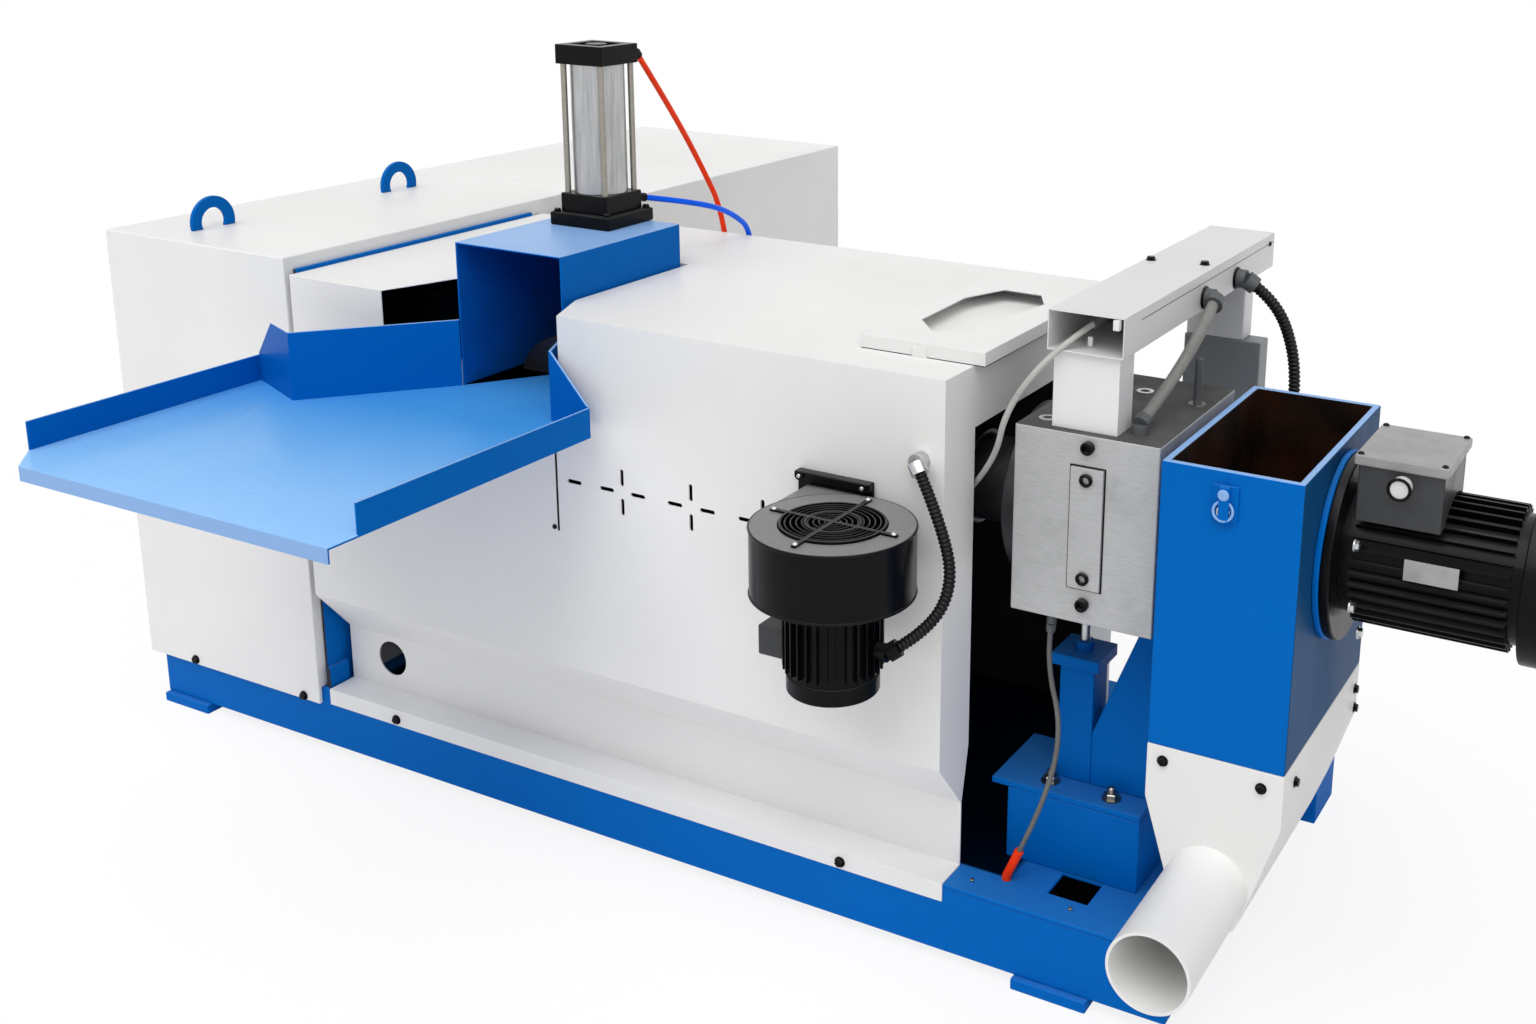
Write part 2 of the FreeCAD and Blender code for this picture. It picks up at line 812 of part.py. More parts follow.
def make_barrel_cover():
    body = new_body("barrel_cover")
    near = "-cover_near_overhang"
    panel = f"({near} + recess_depth)"
    section = [
        (near, TRAY_UNDER),
        (near, "cover_fold"),
        (panel, "recess_top"),
        (panel, "base_top"),
        (COVER_FAR, "base_top"),
        (COVER_FAR, TRAY_UNDER),
    ]
    pad(body, "YZ", COVER_LEFT, "cover_length", section)
    behind = f"({HOOD_FAR} + hood_clearance)"
    beside = f"({COVER_STEP} - cover_corner_run)"
    plan = [
        (COVER_STEP, near),
        (COVER_RIGHT, near),
        (COVER_RIGHT, COVER_FAR),
        ("hood_left", COVER_FAR),
        ("hood_left", behind),
        (beside, behind),
        (beside, f"{near} + cover_corner_rise"),
    ]
    pad(body, "XY", TRAY_UNDER, f"cover_top - {TRAY_UNDER}", plan)
    floor = size("base_top") + 1
    hollow_out(body, "sheet", lambda face: face.BoundBox.ZMax < floor)
    pocket(body, "XY", f"{TRAY_UNDER} - sheet", "sheet", throat_plan())
    lip = [
        (panel, "base_top"),
        (panel, "base_top + sheet"),
        ("-sheet", "base_top + sheet"),
        ("-sheet", "lip_bottom"),
        ("0", "lip_bottom"),
        ("0", "base_top"),
    ]
    pad(body, "YZ", COVER_LEFT, "cover_length", lip)
    opening = [
        (f"{near} + end_rim", "cover_fold"),
        (f"{near} + end_rim", "cover_top - end_rim"),
        (f"{COVER_FAR} - end_rim", "cover_top - end_rim"),
        (f"{COVER_FAR} - end_rim", "base_top"),
        (f"{panel} + sheet", "base_top"),
        (f"{panel} + sheet", "recess_top"),
    ]
    pocket(body, "YZ", f"{COVER_RIGHT} - sheet", "sheet", opening)
    port = (f"{COVER_LEFT} + port_inset", "port_height", "port_radius")
    pocket(body, "XZ", panel, "sheet", port)
    seam_left = f"{COVER_LEFT} + vent_left"
    slots = [rectangle(seam_left, "seam_bottom", "seam_width", "seam_top - seam_bottom")]
    for count in range(1, 4):
        slots += vent_cross(f"({COVER_LEFT} + vent_left + {count} * vent_pitch)")
    slots.append(vent_slot(f"{seam_left} + vent_first", VENT_LOW, "vent_length", "vent_width"))
    pocket(body, "XZ", near, "sheet", *slots)
    node(body, "barrel_cover")


# Feed tray and hood
def make_feed_tray():
    body = new_body("feed_tray")
    reach = "-tray_reach"
    wall_end = "(tray_corner - tray_reach)"
    throat_right = "(tray_right - throat_run)"
    plan = [
        ("tray_left + tray_corner", reach),
        ("tray_right", reach),
        ("tray_right", "-throat_near"),
        (throat_right, "-throat_far"),
        (HOOD_RIGHT, "hood_near"),
        (HOOD_RIGHT, HOOD_FAR),
        ("hood_left", HOOD_FAR),
        ("hood_left", "hood_near"),
        ("tray_left + fin_run", "-fin_near"),
        ("tray_left", "-fin_far"),
        ("tray_left", wall_end),
    ]
    pad(body, "XY", TRAY_UNDER, "tray_sheet", plan)
    thick = "tray_sheet"
    wall_length = "tray_reach - tray_corner"
    left = rectangle("tray_left", wall_end, thick, f"{wall_length} - fin_far")
    right = rectangle(f"tray_right - {thick}", wall_end, thick, f"{wall_length} - throat_near")
    pad(body, "XY", "tray_height", "tray_wall", left, right)
    fin = strip("tray_left", "-fin_far", "tray_left + fin_run", "-fin_near", thick, f"-{thick}")
    funnel = strip("tray_left + fin_run", "-fin_near", "hood_left", "hood_near", thick, f"-{thick}")
    pad(body, "XY", "tray_height", "funnel_wall", fin)
    pad(body, "XY", "tray_height", "funnel_wall", funnel)
    far_side = strip("tray_right", "-throat_near", throat_right, "-throat_far", f"-{thick}", f"-{thick}")
    throat = strip(throat_right, "-throat_far", HOOD_RIGHT, "hood_near", f"-{thick}", f"-{thick}")
    pad(body, "XY", "tray_height", "funnel_wall", far_side)
    pad(body, "XY", "tray_height", "funnel_wall", throat)
    top = "(tray_height + tray_wall)"
    crest = "(tray_height + funnel_wall)"
    left_slope = [("tray_left", top), ("tray_left + fin_run / 2", crest), ("tray_left", crest)]
    right_slope = [("tray_right", top), (throat_right, crest), ("tray_right", crest)]
    pocket(body, "XZ", reach, "tray_reach", left_slope)
    pocket(body, "XZ", reach, "tray_reach", right_slope)
    pocket(body, "XY", TRAY_UNDER, thick, throat_plan())
    lip_length = "tray_right - tray_left - tray_corner"
    lip = rectangle("tray_left + tray_corner", f"{TRAY_UNDER} - tray_lip", lip_length, "tray_lip")
    pad(body, "XZ", reach, "tray_sheet", lip)
    node(body, "feed_tray")


def make_hood():
    body = new_body("feed_hood")
    plan = rectangle("hood_left", "hood_near", "hood_width", "hood_depth")
    pad(body, "XY", "tray_height", "hood_top - tray_height", plan)
    length = "hood_width - 2 * tray_sheet"
    inner = rectangle("hood_left + tray_sheet", "hood_near", length, "hood_depth - tray_sheet")
    pocket(body, "XY", "tray_height", "hood_top - tray_height - tray_sheet", inner)
    node(body, "feed_hood")
    near = "(throat_start + roller_gap)"
    length = f"{HOOD_FAR} - tray_sheet - {near}"
    node(rod("Y", "roller_x", near, "roller_z", "roller_radius", length), "feed_roller")


# Pneumatic cylinder
def make_ram():
    def square(side, level, height):
        return box(f"ram_x - {side} / 2", f"ram_y - {side} / 2", level, side, side, height)
    cap_bottom = "(hood_top + ram_flange_thickness)"
    tube_bottom = f"({cap_bottom} + ram_cap_height)"
    cap_top = f"({tube_bottom} + ram_tube_length)"
    node(square("ram_flange", "hood_top", "ram_flange_thickness"), "ram_flange")
    node(square("ram_cap", cap_bottom, "ram_cap_height"), "ram_lower_cap")
    node(rod("Z", "ram_x", "ram_y", tube_bottom, "ram_tube_radius", "ram_tube_length"), "ram_tube")
    eye_level = f"{cap_top} + ram_cap_height - ram_eye_depth"
    eye = square("ram_eye_side", eye_level, "ram_eye_depth")
    boss = rod("Z", "ram_x", "ram_y", eye_level, "ram_boss_radius", "ram_eye_depth")
    cap = cut(square("ram_cap", cap_top, "ram_cap_height"), eye)
    node(fuse(cap, boss), "ram_upper_cap")
    rods = []
    for side_x in (-1, 1):
        for side_y in (-1, 1):
            x = f"ram_x + {side_x} * tie_rod_offset"
            y = f"ram_y + {side_y} * tie_rod_offset"
            rods.append(rod("Z", x, y, tube_bottom, "tie_rod_radius", "ram_tube_length"))
    node(group(*rods), "ram_tie_rods")
    valve = box("valve_left", COVER_FAR, "valve_bottom", "valve_length", "valve_depth", "valve_height")
    port_z = "valve_bottom + valve_height"
    port_y = f"{COVER_FAR} + valve_port_gap"
    near_x = "valve_left + valve_port_gap / 2"
    ports = [f"({near_x} + {count} * valve_port_pitch)" for count in range(2)]
    stubs = [rod("Z", x, port_y, port_z, "air_fitting_radius", "valve_port_length") for x in ports]
    fittings.append(fuse(valve, *stubs))
    ram_side = "ram_y + ram_cap / 2"
    for label, table, level, port in (
        ("air_tube_red", RED_BENDS, cap_top, ports[0]),
        ("air_tube_blue", BLUE_BENDS, cap_bottom, ports[1]),
    ):
        surface = spot("ram_x + air_fitting_shift", ram_side, f"{level} + ram_cap_height / 2")
        route = bends("0", table)
        reach = "air_fitting_reach"
        item, start = elbow(surface, OUT_FAR, route[0], "air_fitting_radius", reach, reach)
        fittings.append(item)
        end = spot(port, port_y, f"{port_z} + valve_port_length")
        cord(label, "air_tube_diameter", [start, *route, end])


# Extruder barrel and die
def make_extruder():
    left = COVER_STEP
    flange_left = f"({DIE_LEFT} - barrel_flange_thickness)"
    flange_thickness = "barrel_flange_thickness"
    node(rod("X", left, "axis_y", "axis_z", "barrel_radius", f"{flange_left} - ({left})"), "barrel")
    flange = rod("X", flange_left, "axis_y", "axis_z", "barrel_flange_radius", flange_thickness)
    node(flange, "barrel_flange")
    band = rod("X", HEATER_LEFT, "axis_y", "axis_z", "heater_radius", "heater_length")
    band_room = rod("X", HEATER_LEFT, "axis_y", "axis_z", "barrel_radius", "heater_length")
    block = box(
        f"{HEATER_LEFT} + (heater_length - heater_block) / 2",
        "axis_y - heater_radius - heater_block_depth",
        "axis_z - heater_block / 2",
        "heater_block",
        "heater_block_depth + heater_radius",
        "heater_block",
    )
    node(cut(fuse(band, block), band_room), "heater_band")
    block = box(DIE_LEFT, DIE_NEAR, "die_bottom", "die_length", "die_depth", "die_height")
    slot_left = f"{SLIDE_X} - slot_width / 2"
    slot = box(slot_left, DIE_NEAR, "slot_bottom", "slot_width", "die_depth", "slot_height")
    node(cut(block, slot), "die_block")
    gap = "slide_clearance"
    slide = box(
        f"{slot_left} + {gap}",
        f"{DIE_NEAR} - slide_proud",
        f"slot_bottom + {gap}",
        f"slot_width - 2 * {gap}",
        "die_depth + slide_proud + slide_tail",
        f"slot_height - 2 * {gap}",
    )
    node(slide, "screen_slide")
    node(rod("X", DIE_RIGHT, "axis_y", "axis_z", "collar_radius", "collar_length"), "die_collar")
    drive_near = f"({DIE_NEAR} + die_depth + slide_tail)"
    drive_z = "slot_bottom + slot_height / 2"
    plate_y = f"({DIE_NEAR} + slide_length)"
    cylinder = rod("Y", SLIDE_X, drive_near, drive_z, "drive_radius", f"{plate_y} - {drive_near}")
    node(cylinder, "slide_cylinder")
    plate = box(
        f"{SLIDE_X} - drive_plate_width / 2",
        plate_y,
        "die_bottom",
        "drive_plate_width",
        "drive_plate_thickness",
        "drive_plate_top - die_bottom",
    )
    node(plate, "slide_end_plate")


# Support of the die
def make_support():
    near = "(axis_y - pedestal_depth / 2)"
    block = box(PEDESTAL_LEFT, near, "base_top", "pedestal_length", "pedestal_depth", "pedestal_height")
    node(block, "pedestal")
    plate = box(
        f"{PEDESTAL_LEFT} - plate_overhang",
        near,
        "base_top + pedestal_height",
        "pedestal_length + plate_overhang",
        "pedestal_depth",
        "plate_thickness",
    )
    node(plate, "pedestal_plate")
    def square(side, level, height):
        return box(f"{POST_X} - {side} / 2", f"axis_y - {side} / 2", level, side, side, height)
    node(square("post_side", PLATE_TOP, "post_height"), "support_post")
    boss = rod("Z", POST_X, "axis_y", CAP_TOP, "cap_boss_radius", "cap_boss_height")
    node(fuse(square("post_cap_side", f"{PLATE_TOP} + post_height", "post_cap_height"), boss), "post_cap")
    boss_top = f"({CAP_TOP} + cap_boss_height)"
    node(rod("Z", POST_X, "axis_y", boss_top, "jack_radius", f"die_bottom - {boss_top}"), "jack_screw")
    foot = f"({POST_X} + post_side / 2)"
    pedestal_right = f"{PEDESTAL_LEFT} + pedestal_length"
    profile = [
        (foot, PLATE_TOP),
        (foot, f"{PLATE_TOP} + gusset_waist"),
        (f"{foot} + gusset_run", "die_bottom - gusset_gap"),
        (CUTTER_LEFT, "die_bottom - gusset_gap"),
        (CUTTER_LEFT, "cutter_bottom + gusset_gap"),
        (pedestal_right, f"{PLATE_TOP} + gusset_waist"),
        (pedestal_right, PLATE_TOP),
    ]
    gussets = []
    for side in (-1, 1):
        body = new_body("Gusset")
        level = f"axis_y + {side} * (post_side - gusset_thickness) / 2 - gusset_thickness / 2"
        pad(body, "XZ", level, "gusset_thickness", profile)
        gussets.append(body)
    node(group(*gussets), "support_gussets")


# Cutter box, motor and outlet
def add_fins(body, plane, axis, radius, length, fin_height, fin_width, gap, count):
    core = f"({radius} - {fin_height})"
    pad(body, plane, "0", length, ("0", "0", core))
    low = f"{core} - {fin_width}"
    profile = rectangle(f"-{fin_width} / 2", low, fin_width, f"{fin_height} + {fin_width}")
    fin = pad(body, plane, gap, f"{length} - 2 * {gap}", profile)
    repeat_around(body, fin, axis, count)


def make_cutter():
    body = new_body("cutter_box")
    outer = rectangle(CUTTER_LEFT, CUTTER_NEAR, "cutter_length", "cutter_depth")
    height = "cutter_top - cutter_bottom"
    pad(body, "XY", "cutter_bottom", height, outer)
    wall = "cutter_wall"
    length = f"cutter_length - 2 * {wall}"
    corner = (f"{CUTTER_LEFT} + {wall}", f"{CUTTER_NEAR} + {wall}")
    inner = rectangle(*corner, length, f"cutter_depth - 2 * {wall}")
    pocket(body, "XY", "cutter_bottom", height, inner)
    node(body, "cutter_box")
    ring = rod("X", CUTTER_RIGHT, "axis_y", "axis_z", "motor_ring_radius", "motor_ring_length")
    node(ring, "motor_ring")
    flange_left = f"{CUTTER_RIGHT} + motor_ring_length"
    flange = rod("X", flange_left, "axis_y", "axis_z", "motor_flange_radius", "motor_flange_length")
    node(flange, "motor_flange")
    body = new_body("cutter_motor")
    put(body, MOTOR_LEFT, "axis_y", "axis_z")
    fins = ("motor_fin_height", "motor_fin_width", "motor_fin_gap", "motor_fins")
    add_fins(body, "YZ", "X", "motor_radius", "motor_length", *fins)
    node(body, "cutter_motor")
    cowl = rod("X", f"{MOTOR_LEFT} + motor_length", "axis_y", "axis_z", "cowl_radius", "cowl_length")
    node(cowl, "motor_cowl")
    terminal_left = f"({MOTOR_LEFT} + terminal_offset)"
    terminal_near = "(axis_y - terminal_depth / 2 - terminal_shift)"
    saddle = "(axis_z + motor_radius - terminal_sink)"
    terminal_top = "(axis_z + motor_radius + terminal_height)"
    reach = "terminal_lid_reach"
    terminal = box(
        terminal_left,
        terminal_near,
        saddle,
        "terminal_length",
        "terminal_depth",
        "terminal_height + terminal_sink",
    )
    lid = box(
        f"{terminal_left} - {reach}",
        f"{terminal_near} - {reach}",
        terminal_top,
        f"terminal_length + 2 * {reach}",
        f"terminal_depth + 2 * {reach}",
        "terminal_lid_height",
    )
    body_round = rod("X", MOTOR_LEFT, "axis_y", "axis_z", "motor_radius", "motor_length")
    blower_box = box(
        f"{BLOWER_X} - blower_motor_radius - blower_box_reach",
        f"{BLOWER_Y} - blower_box_depth / 2",
        "blower_box_bottom",
        "blower_box_reach + blower_box_sink",
        "blower_box_depth",
        "blower_box_height",
    )
    blower_foot = f"{BLOWER_BOTTOM} - blower_motor_height"
    blower_round = rod("Z", BLOWER_X, BLOWER_Y, blower_foot, "blower_motor_radius", "blower_motor_height")
    boxes = group(cut(fuse(terminal, lid), body_round), cut(blower_box, blower_round))
    node(boxes, "motor_terminal_box")
    gland_x = f"{terminal_left} + motor_gland_x"
    gland_y = f"{terminal_near} - motor_gland_length"
    gland_z = f"{terminal_top} - motor_gland_drop"
    fittings.append(rod("Y", gland_x, gland_y, gland_z, "motor_gland_radius", "motor_gland_length"))
    latch_x = f"({CUTTER_LEFT} + latch_shift)"
    size = ("latch_width", "latch_plate", "latch_height")
    plate = box(latch_x, f"{CUTTER_NEAR} - latch_plate", "latch_bottom", *size)
    lever = box(
        f"{latch_x} + (latch_width - latch_lever) / 2",
        f"{CUTTER_NEAR} - latch_plate - latch_lever / 2",
        "latch_bottom",
        "latch_lever",
        "latch_lever / 2",
        "latch_height",
    )
    clip_left = f"({COVER_RIGHT} + lid_overhang - lid_length + clip_left)"
    clip_near = "(lid_near - cover_near_overhang - clip_thickness)"
    clip = box(clip_left, clip_near, "cover_top", "clip_width", "clip_thickness", "clip_height")
    node(group(fuse(plate, lever), clip), "latches")


def make_chute():
    body = new_body("discharge_chute")
    middle = f"({CUTTER_LEFT} + cutter_length / 2)"
    band = "(cutter_bottom - chute_band)"
    foot_level = "outlet_height - outlet_radius - chute_rim"
    def section(inset):
        return [
            (f"{CUTTER_LEFT} + {inset}", "cutter_bottom"),
            (f"{CUTTER_RIGHT} - {inset}", "cutter_bottom"),
            (f"{CUTTER_RIGHT} - {inset}", band),
            (f"{middle} + outlet_radius + chute_rim - {inset}", "outlet_height"),
            (f"{middle} + chute_foot - {inset}", f"{foot_level} + {inset}"),
            (f"{middle} - chute_foot + {inset}", f"{foot_level} + {inset}"),
            (f"{middle} - outlet_radius - chute_rim + {inset}", "outlet_height"),
            (f"{CUTTER_LEFT} + {inset}", band),
        ]
    pad(body, "XZ", CUTTER_NEAR, "cutter_depth", section("0"))
    depth = "cutter_depth - 2 * chute_sheet"
    pocket(body, "XZ", f"{CUTTER_NEAR} + chute_sheet", depth, section("chute_sheet"))
    mouth = (middle, "outlet_height", "outlet_radius - chute_sheet")
    pocket(body, "XZ", CUTTER_NEAR, "chute_sheet", mouth)
    node(body, "discharge_chute")
    end = f"{CUTTER_NEAR} - outlet_length"
    pipe = rod("Y", middle, end, "outlet_height", "outlet_radius", "outlet_length")
    bore = rod("Y", middle, end, "outlet_height", "outlet_radius - chute_sheet", "outlet_length")
    node(cut(pipe, bore), "outlet_pipe")


# Cable duct and the conduits at the die
def make_duct():
    sheet_inside = "2 * duct_sheet"
    tray_height = "duct_height - duct_sheet"
    tray = box(DUCT_LEFT, "duct_near", "duct_bottom", "duct_width", "duct_length", tray_height)
    room = box(
        f"{DUCT_LEFT} + duct_sheet",
        "duct_near",
        "duct_bottom + duct_sheet",
        f"duct_width - {sheet_inside}",
        "duct_length - duct_sheet",
        "duct_height",
    )
    node(cut(tray, room), "cable_duct")
    lid_bottom = f"duct_bottom + {tray_height}"
    node(box(DUCT_LEFT, "duct_near", lid_bottom, "duct_width", "duct_length", "duct_sheet"), "duct_lid")
    leg_x = f"({DUCT_LEFT} + (duct_width - leg_width) / 2)"
    near_y = f"({DIE_NEAR} + leg_inset)"
    leg_height = f"duct_bottom - {DIE_TOP}"
    leg = box(leg_x, near_y, DIE_TOP, "leg_width", "leg_depth", leg_height)
    inside = f"leg_width - {sheet_inside}"
    hollow = box(f"{leg_x} + duct_sheet", f"{near_y} + duct_sheet", DIE_TOP, inside, "leg_depth", leg_height)
    node(cut(leg, hollow), "duct_near_leg")
    far_y = f"({DIE_NEAR} + slide_length)"
    far_height = "duct_bottom - drive_plate_top"
    far_leg = box(leg_x, far_y, "drive_plate_top", "leg_width", "drive_plate_thickness", far_height)
    node(far_leg, "duct_far_leg")


def make_conduits():
    gland = ("gland_radius", "gland_reach", "gland_reach")
    socket = ("socket_radius", "socket_reach", "socket_reach")
    gland_z = "duct_bottom + gland_height"
    route = bends(DIE_LEFT, DIE_BENDS)
    near_gland, start = elbow(spot(DUCT_RIGHT, "near_gland_y", gland_z), OUT_RIGHT, route[0], *gland)
    die_socket = spot(f"{DIE_RIGHT} - socket_inset", "socket_y", DIE_TOP)
    near_socket, end = elbow(die_socket, OUT_UP, route[-1], *socket)
    cord("die_conduit", "conduit_diameter", [start, *route, end])
    route = bends(DIE_LEFT, CUTTER_BENDS)
    far_gland, start = elbow(spot(DUCT_RIGHT, "far_gland_y", gland_z), OUT_RIGHT, route[0], *gland)
    box_far = f"{CUTTER_NEAR} + cutter_depth"
    box_side = spot(f"{CUTTER_LEFT} + cutter_gland_x", box_far, "cutter_gland_height")
    box_gland, end = elbow(box_side, OUT_FAR, route[-1], *gland)
    cord("cutter_conduit", "cutter_conduit_diameter", [start, *route, end])
    lead = ("wire_fitting_radius", "wire_fitting_reach", "wire_fitting_reach")
    route = bends(DIE_LEFT, WIRE_BENDS)
    ceiling = spot(f"{DUCT_RIGHT} - wire_x", "wire_y", "duct_bottom + duct_height - duct_sheet")
    duct_lead, start = elbow(ceiling, OUT_DOWN, route[0], *lead)
    block_x = f"{HEATER_LEFT} + (heater_length + heater_block) / 2"
    block_side = spot(block_x, "axis_y - heater_radius - heater_block_depth / 2", "axis_z")
    block_lead, end = elbow(block_side, OUT_RIGHT, route[-1], *lead)
    cord("heater_lead", "wire_diameter", [start, *route, end])
    sensor_x = f"{DIE_RIGHT} - sensor_inset"
    sensor = rod("Z", sensor_x, "sensor_y", DIE_TOP, "sensor_radius", "sensor_height")
    fittings.extend([near_gland, near_socket, far_gland, box_gland, duct_lead, block_lead, sensor])
    route = bends(DIE_LEFT, EARTH_BENDS)
    die_under = spot(f"{DIE_LEFT} + earth_x", "earth_y", "die_bottom")
    earth_end, start = elbow(die_under, OUT_DOWN, route[0], *lead)
    deck = spot(f"{DIE_LEFT} - lug_setback", "lug_y", "base_top")
    lug, end = elbow(deck, OUT_UP, route[-1], "lug_radius", "lug_foot", "lug_length")
    fittings.append(earth_end)
    node(lug, "earth_lug")
    cord("earth_cable", "earth_cable_diameter", [start, *route, end])


# Cooling blower
def make_blower():
    body = new_body("blower_housing")
    pad(body, "XY", BLOWER_BOTTOM, "blower_height", (BLOWER_X, BLOWER_Y, "blower_radius"))
    outlet_depth = "blower_reach - blower_flange_thickness"
    outlet = rectangle(f"{BLOWER_X} - blower_radius", BLOWER_Y, "outlet_width", outlet_depth)
    pad(body, "XY", f"{BLOWER_BOTTOM} + outlet_inset", "blower_height - 2 * outlet_inset", outlet)
    eye_floor = "blower_top - blower_eye_depth"
    pocket(body, "XY", eye_floor, "blower_eye_depth", (BLOWER_X, BLOWER_Y, "blower_eye_radius"))
    node(body, "blower_housing")
    rings = []
    for radius in ("grille_radius", "grille_middle"):
        ring = rod("Z", BLOWER_X, BLOWER_Y, "blower_top", radius, "grille_wire")
        hole = rod("Z", BLOWER_X, BLOWER_Y, "blower_top", f"{radius} - grille_wire", "grille_wire")
        rings.append(cut(ring, hole))
    half = "grille_spoke / 2"
    reach = "2 * grille_reach"
    level = "blower_top"
    size = (reach, "grille_spoke", "grille_wire")
    across = box(f"{BLOWER_X} - grille_reach", f"{BLOWER_Y} - {half}", level, *size)
    size = ("grille_spoke", reach, "grille_wire")
    along = box(f"{BLOWER_X} - {half}", f"{BLOWER_Y} - grille_reach", level, *size)
    node(fuse(*rings, across, along), "blower_grille")
    motor_bottom = f"({BLOWER_BOTTOM} - blower_motor_height)"
    body = new_body("blower_motor")
    put(body, BLOWER_X, BLOWER_Y, motor_bottom)
    fins = ("blower_fin_height", "blower_fin_width", "blower_fin_height", "blower_fins")
    add_fins(body, "XY", "Z", "blower_motor_radius", "blower_motor_height", *fins)
    node(body, "blower_motor")
    cap_radius = "blower_motor_radius - blower_cap_inset"
    cap_bottom = f"{motor_bottom} - blower_cap_height"
    cap = rod("Z", BLOWER_X, BLOWER_Y, cap_bottom, cap_radius, "blower_cap_height")
    node(cap, "blower_motor_cap")
    flange_x = f"{BLOWER_X} - blower_radius - blower_flange_overhang"
    thick = "blower_flange_thickness"
    plate_height = "blower_flange_top - blower_flange_bottom"
    plate_y = f"-cover_near_overhang - {thick}"
    plate = box(flange_x, plate_y, "blower_flange_bottom", "blower_flange_width", thick, plate_height)
    bar = box(
        flange_x,
        "-cover_near_overhang - blower_bar_depth",
        "blower_flange_top - blower_bar_height",
        "blower_flange_width",
        "blower_bar_depth",
        "blower_bar_height",
    )
    node(fuse(plate, bar), "blower_bracket")
    ferrule = ("ferrule_radius", "ferrule_reach", "ferrule_reach")
    route = bends(COVER_RIGHT, BLOWER_BENDS)
    cover_side = spot(f"{COVER_RIGHT} - ferrule_inset", "-cover_near_overhang", "ferrule_height")
    cover_ferrule, start = elbow(cover_side, OUT_NEAR, route[0], *ferrule)
    motor_side = spot(f"{BLOWER_X} + blower_motor_radius", BLOWER_Y, "motor_lead_height")
    motor_ferrule, end = elbow(motor_side, OUT_RIGHT, route[-1], *ferrule)
    fittings.extend([cover_ferrule, motor_ferrule])
    cord("blower_conduit", "conduit_diameter", [start, *route, end])


# Lid of the cutter box
def make_lid():
    left = f"({COVER_RIGHT} + lid_overhang - lid_length)"
    near = "(lid_near - cover_near_overhang)"
    body = new_body("cutter_lid")
    pad(body, "XY", "cover_top", "lid_height", rectangle(left, near, "lid_length", "lid_depth"))
    length = "lid_length - 2 * sheet"
    inside = rectangle(f"{left} + sheet", f"{near} + sheet", length, "lid_depth - 2 * sheet")
    pocket(body, "XY", "cover_top", "lid_height - sheet", inside)
    window = [
        (
            f"{left} + window_left + {across} * window_length",
            f"{near} + window_near + {along} * window_depth",
        )
        for across, along in WINDOW_OUTLINE
    ]
    pocket(body, "XY", "cover_top + lid_height - sheet", "sheet", window)
    node(body, "cutter_lid")


make_base_frame()
make_base_deck()
make_base_feet()
make_side_plate()
make_cabinet()
make_lifting_eyes()
make_gearbox_cover()
make_barrel_cover()
make_feed_tray()
make_hood()
make_ram()
make_extruder()
make_support()
make_cutter()
make_chute()
make_duct()
make_conduits()
make_blower()
make_lid()
node(group(*fittings), "cable_fittings")
doc.recompute()

for item in doc.Objects:
    if "Invalid" in item.State or "Error" in item.State:
        raise RuntimeError(f"{item.Label} did not compute: {item.State}")
for item in parts:
    if item.Shape.isNull() or not item.Shape.isValid():
        raise RuntimeError(f"{item.Label} has no valid shape")

os.makedirs("parts", exist_ok=True)
for item in parts:
    item.Shape.exportStep(f"parts/{item.Label}.step")
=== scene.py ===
import json
import math

import bmesh
import bpy
from mathutils import Matrix, Vector


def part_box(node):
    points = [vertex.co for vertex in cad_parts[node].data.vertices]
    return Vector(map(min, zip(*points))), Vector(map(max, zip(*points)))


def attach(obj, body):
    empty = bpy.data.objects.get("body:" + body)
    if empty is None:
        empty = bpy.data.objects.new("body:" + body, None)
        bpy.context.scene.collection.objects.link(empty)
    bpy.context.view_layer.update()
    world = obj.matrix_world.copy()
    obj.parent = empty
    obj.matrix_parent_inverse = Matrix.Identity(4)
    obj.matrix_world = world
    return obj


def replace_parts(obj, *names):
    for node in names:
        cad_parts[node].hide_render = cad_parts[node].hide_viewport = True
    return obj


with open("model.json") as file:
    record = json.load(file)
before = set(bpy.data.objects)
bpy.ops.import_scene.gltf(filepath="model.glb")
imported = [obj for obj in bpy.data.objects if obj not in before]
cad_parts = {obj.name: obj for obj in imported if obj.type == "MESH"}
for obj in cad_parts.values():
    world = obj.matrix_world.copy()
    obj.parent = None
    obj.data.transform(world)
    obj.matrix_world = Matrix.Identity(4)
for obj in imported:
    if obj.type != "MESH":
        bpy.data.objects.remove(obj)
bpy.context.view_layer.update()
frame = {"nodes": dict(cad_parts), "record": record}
scene = bpy.context.scene

# Camera at the photograph's place
CAMERA_PLACE = (3.16375, -2.28737, 1.83340)
CAMERA_RIGHT = (0.8848513, 0.4656057, 0.0157948)
CAMERA_UP = (-0.1298488, 0.2139249, 0.9681815)
CAMERA_BACK = (0.4474120, -0.8587476, 0.2497501)
PHOTO_WIDTH = 1536
PHOTO_HEIGHT = 1024
FOCAL_PIXELS = 1684.55
CENTRE_X = 944.63
CENTRE_Y = 314.04
SENSOR = 36.0
CLIP_END = 200

# Strength of the soft light from the left and from the right
SKY_LEFT = 0.46
SKY_RIGHT = 0.19
# Suns: direction, strength and angle in degrees
KEY_SUN = ((0.05, 0.44, -0.90), 1.7, 55)
FILL_SUN = ((-0.55, 0.45, -0.70), 1.0, 60)


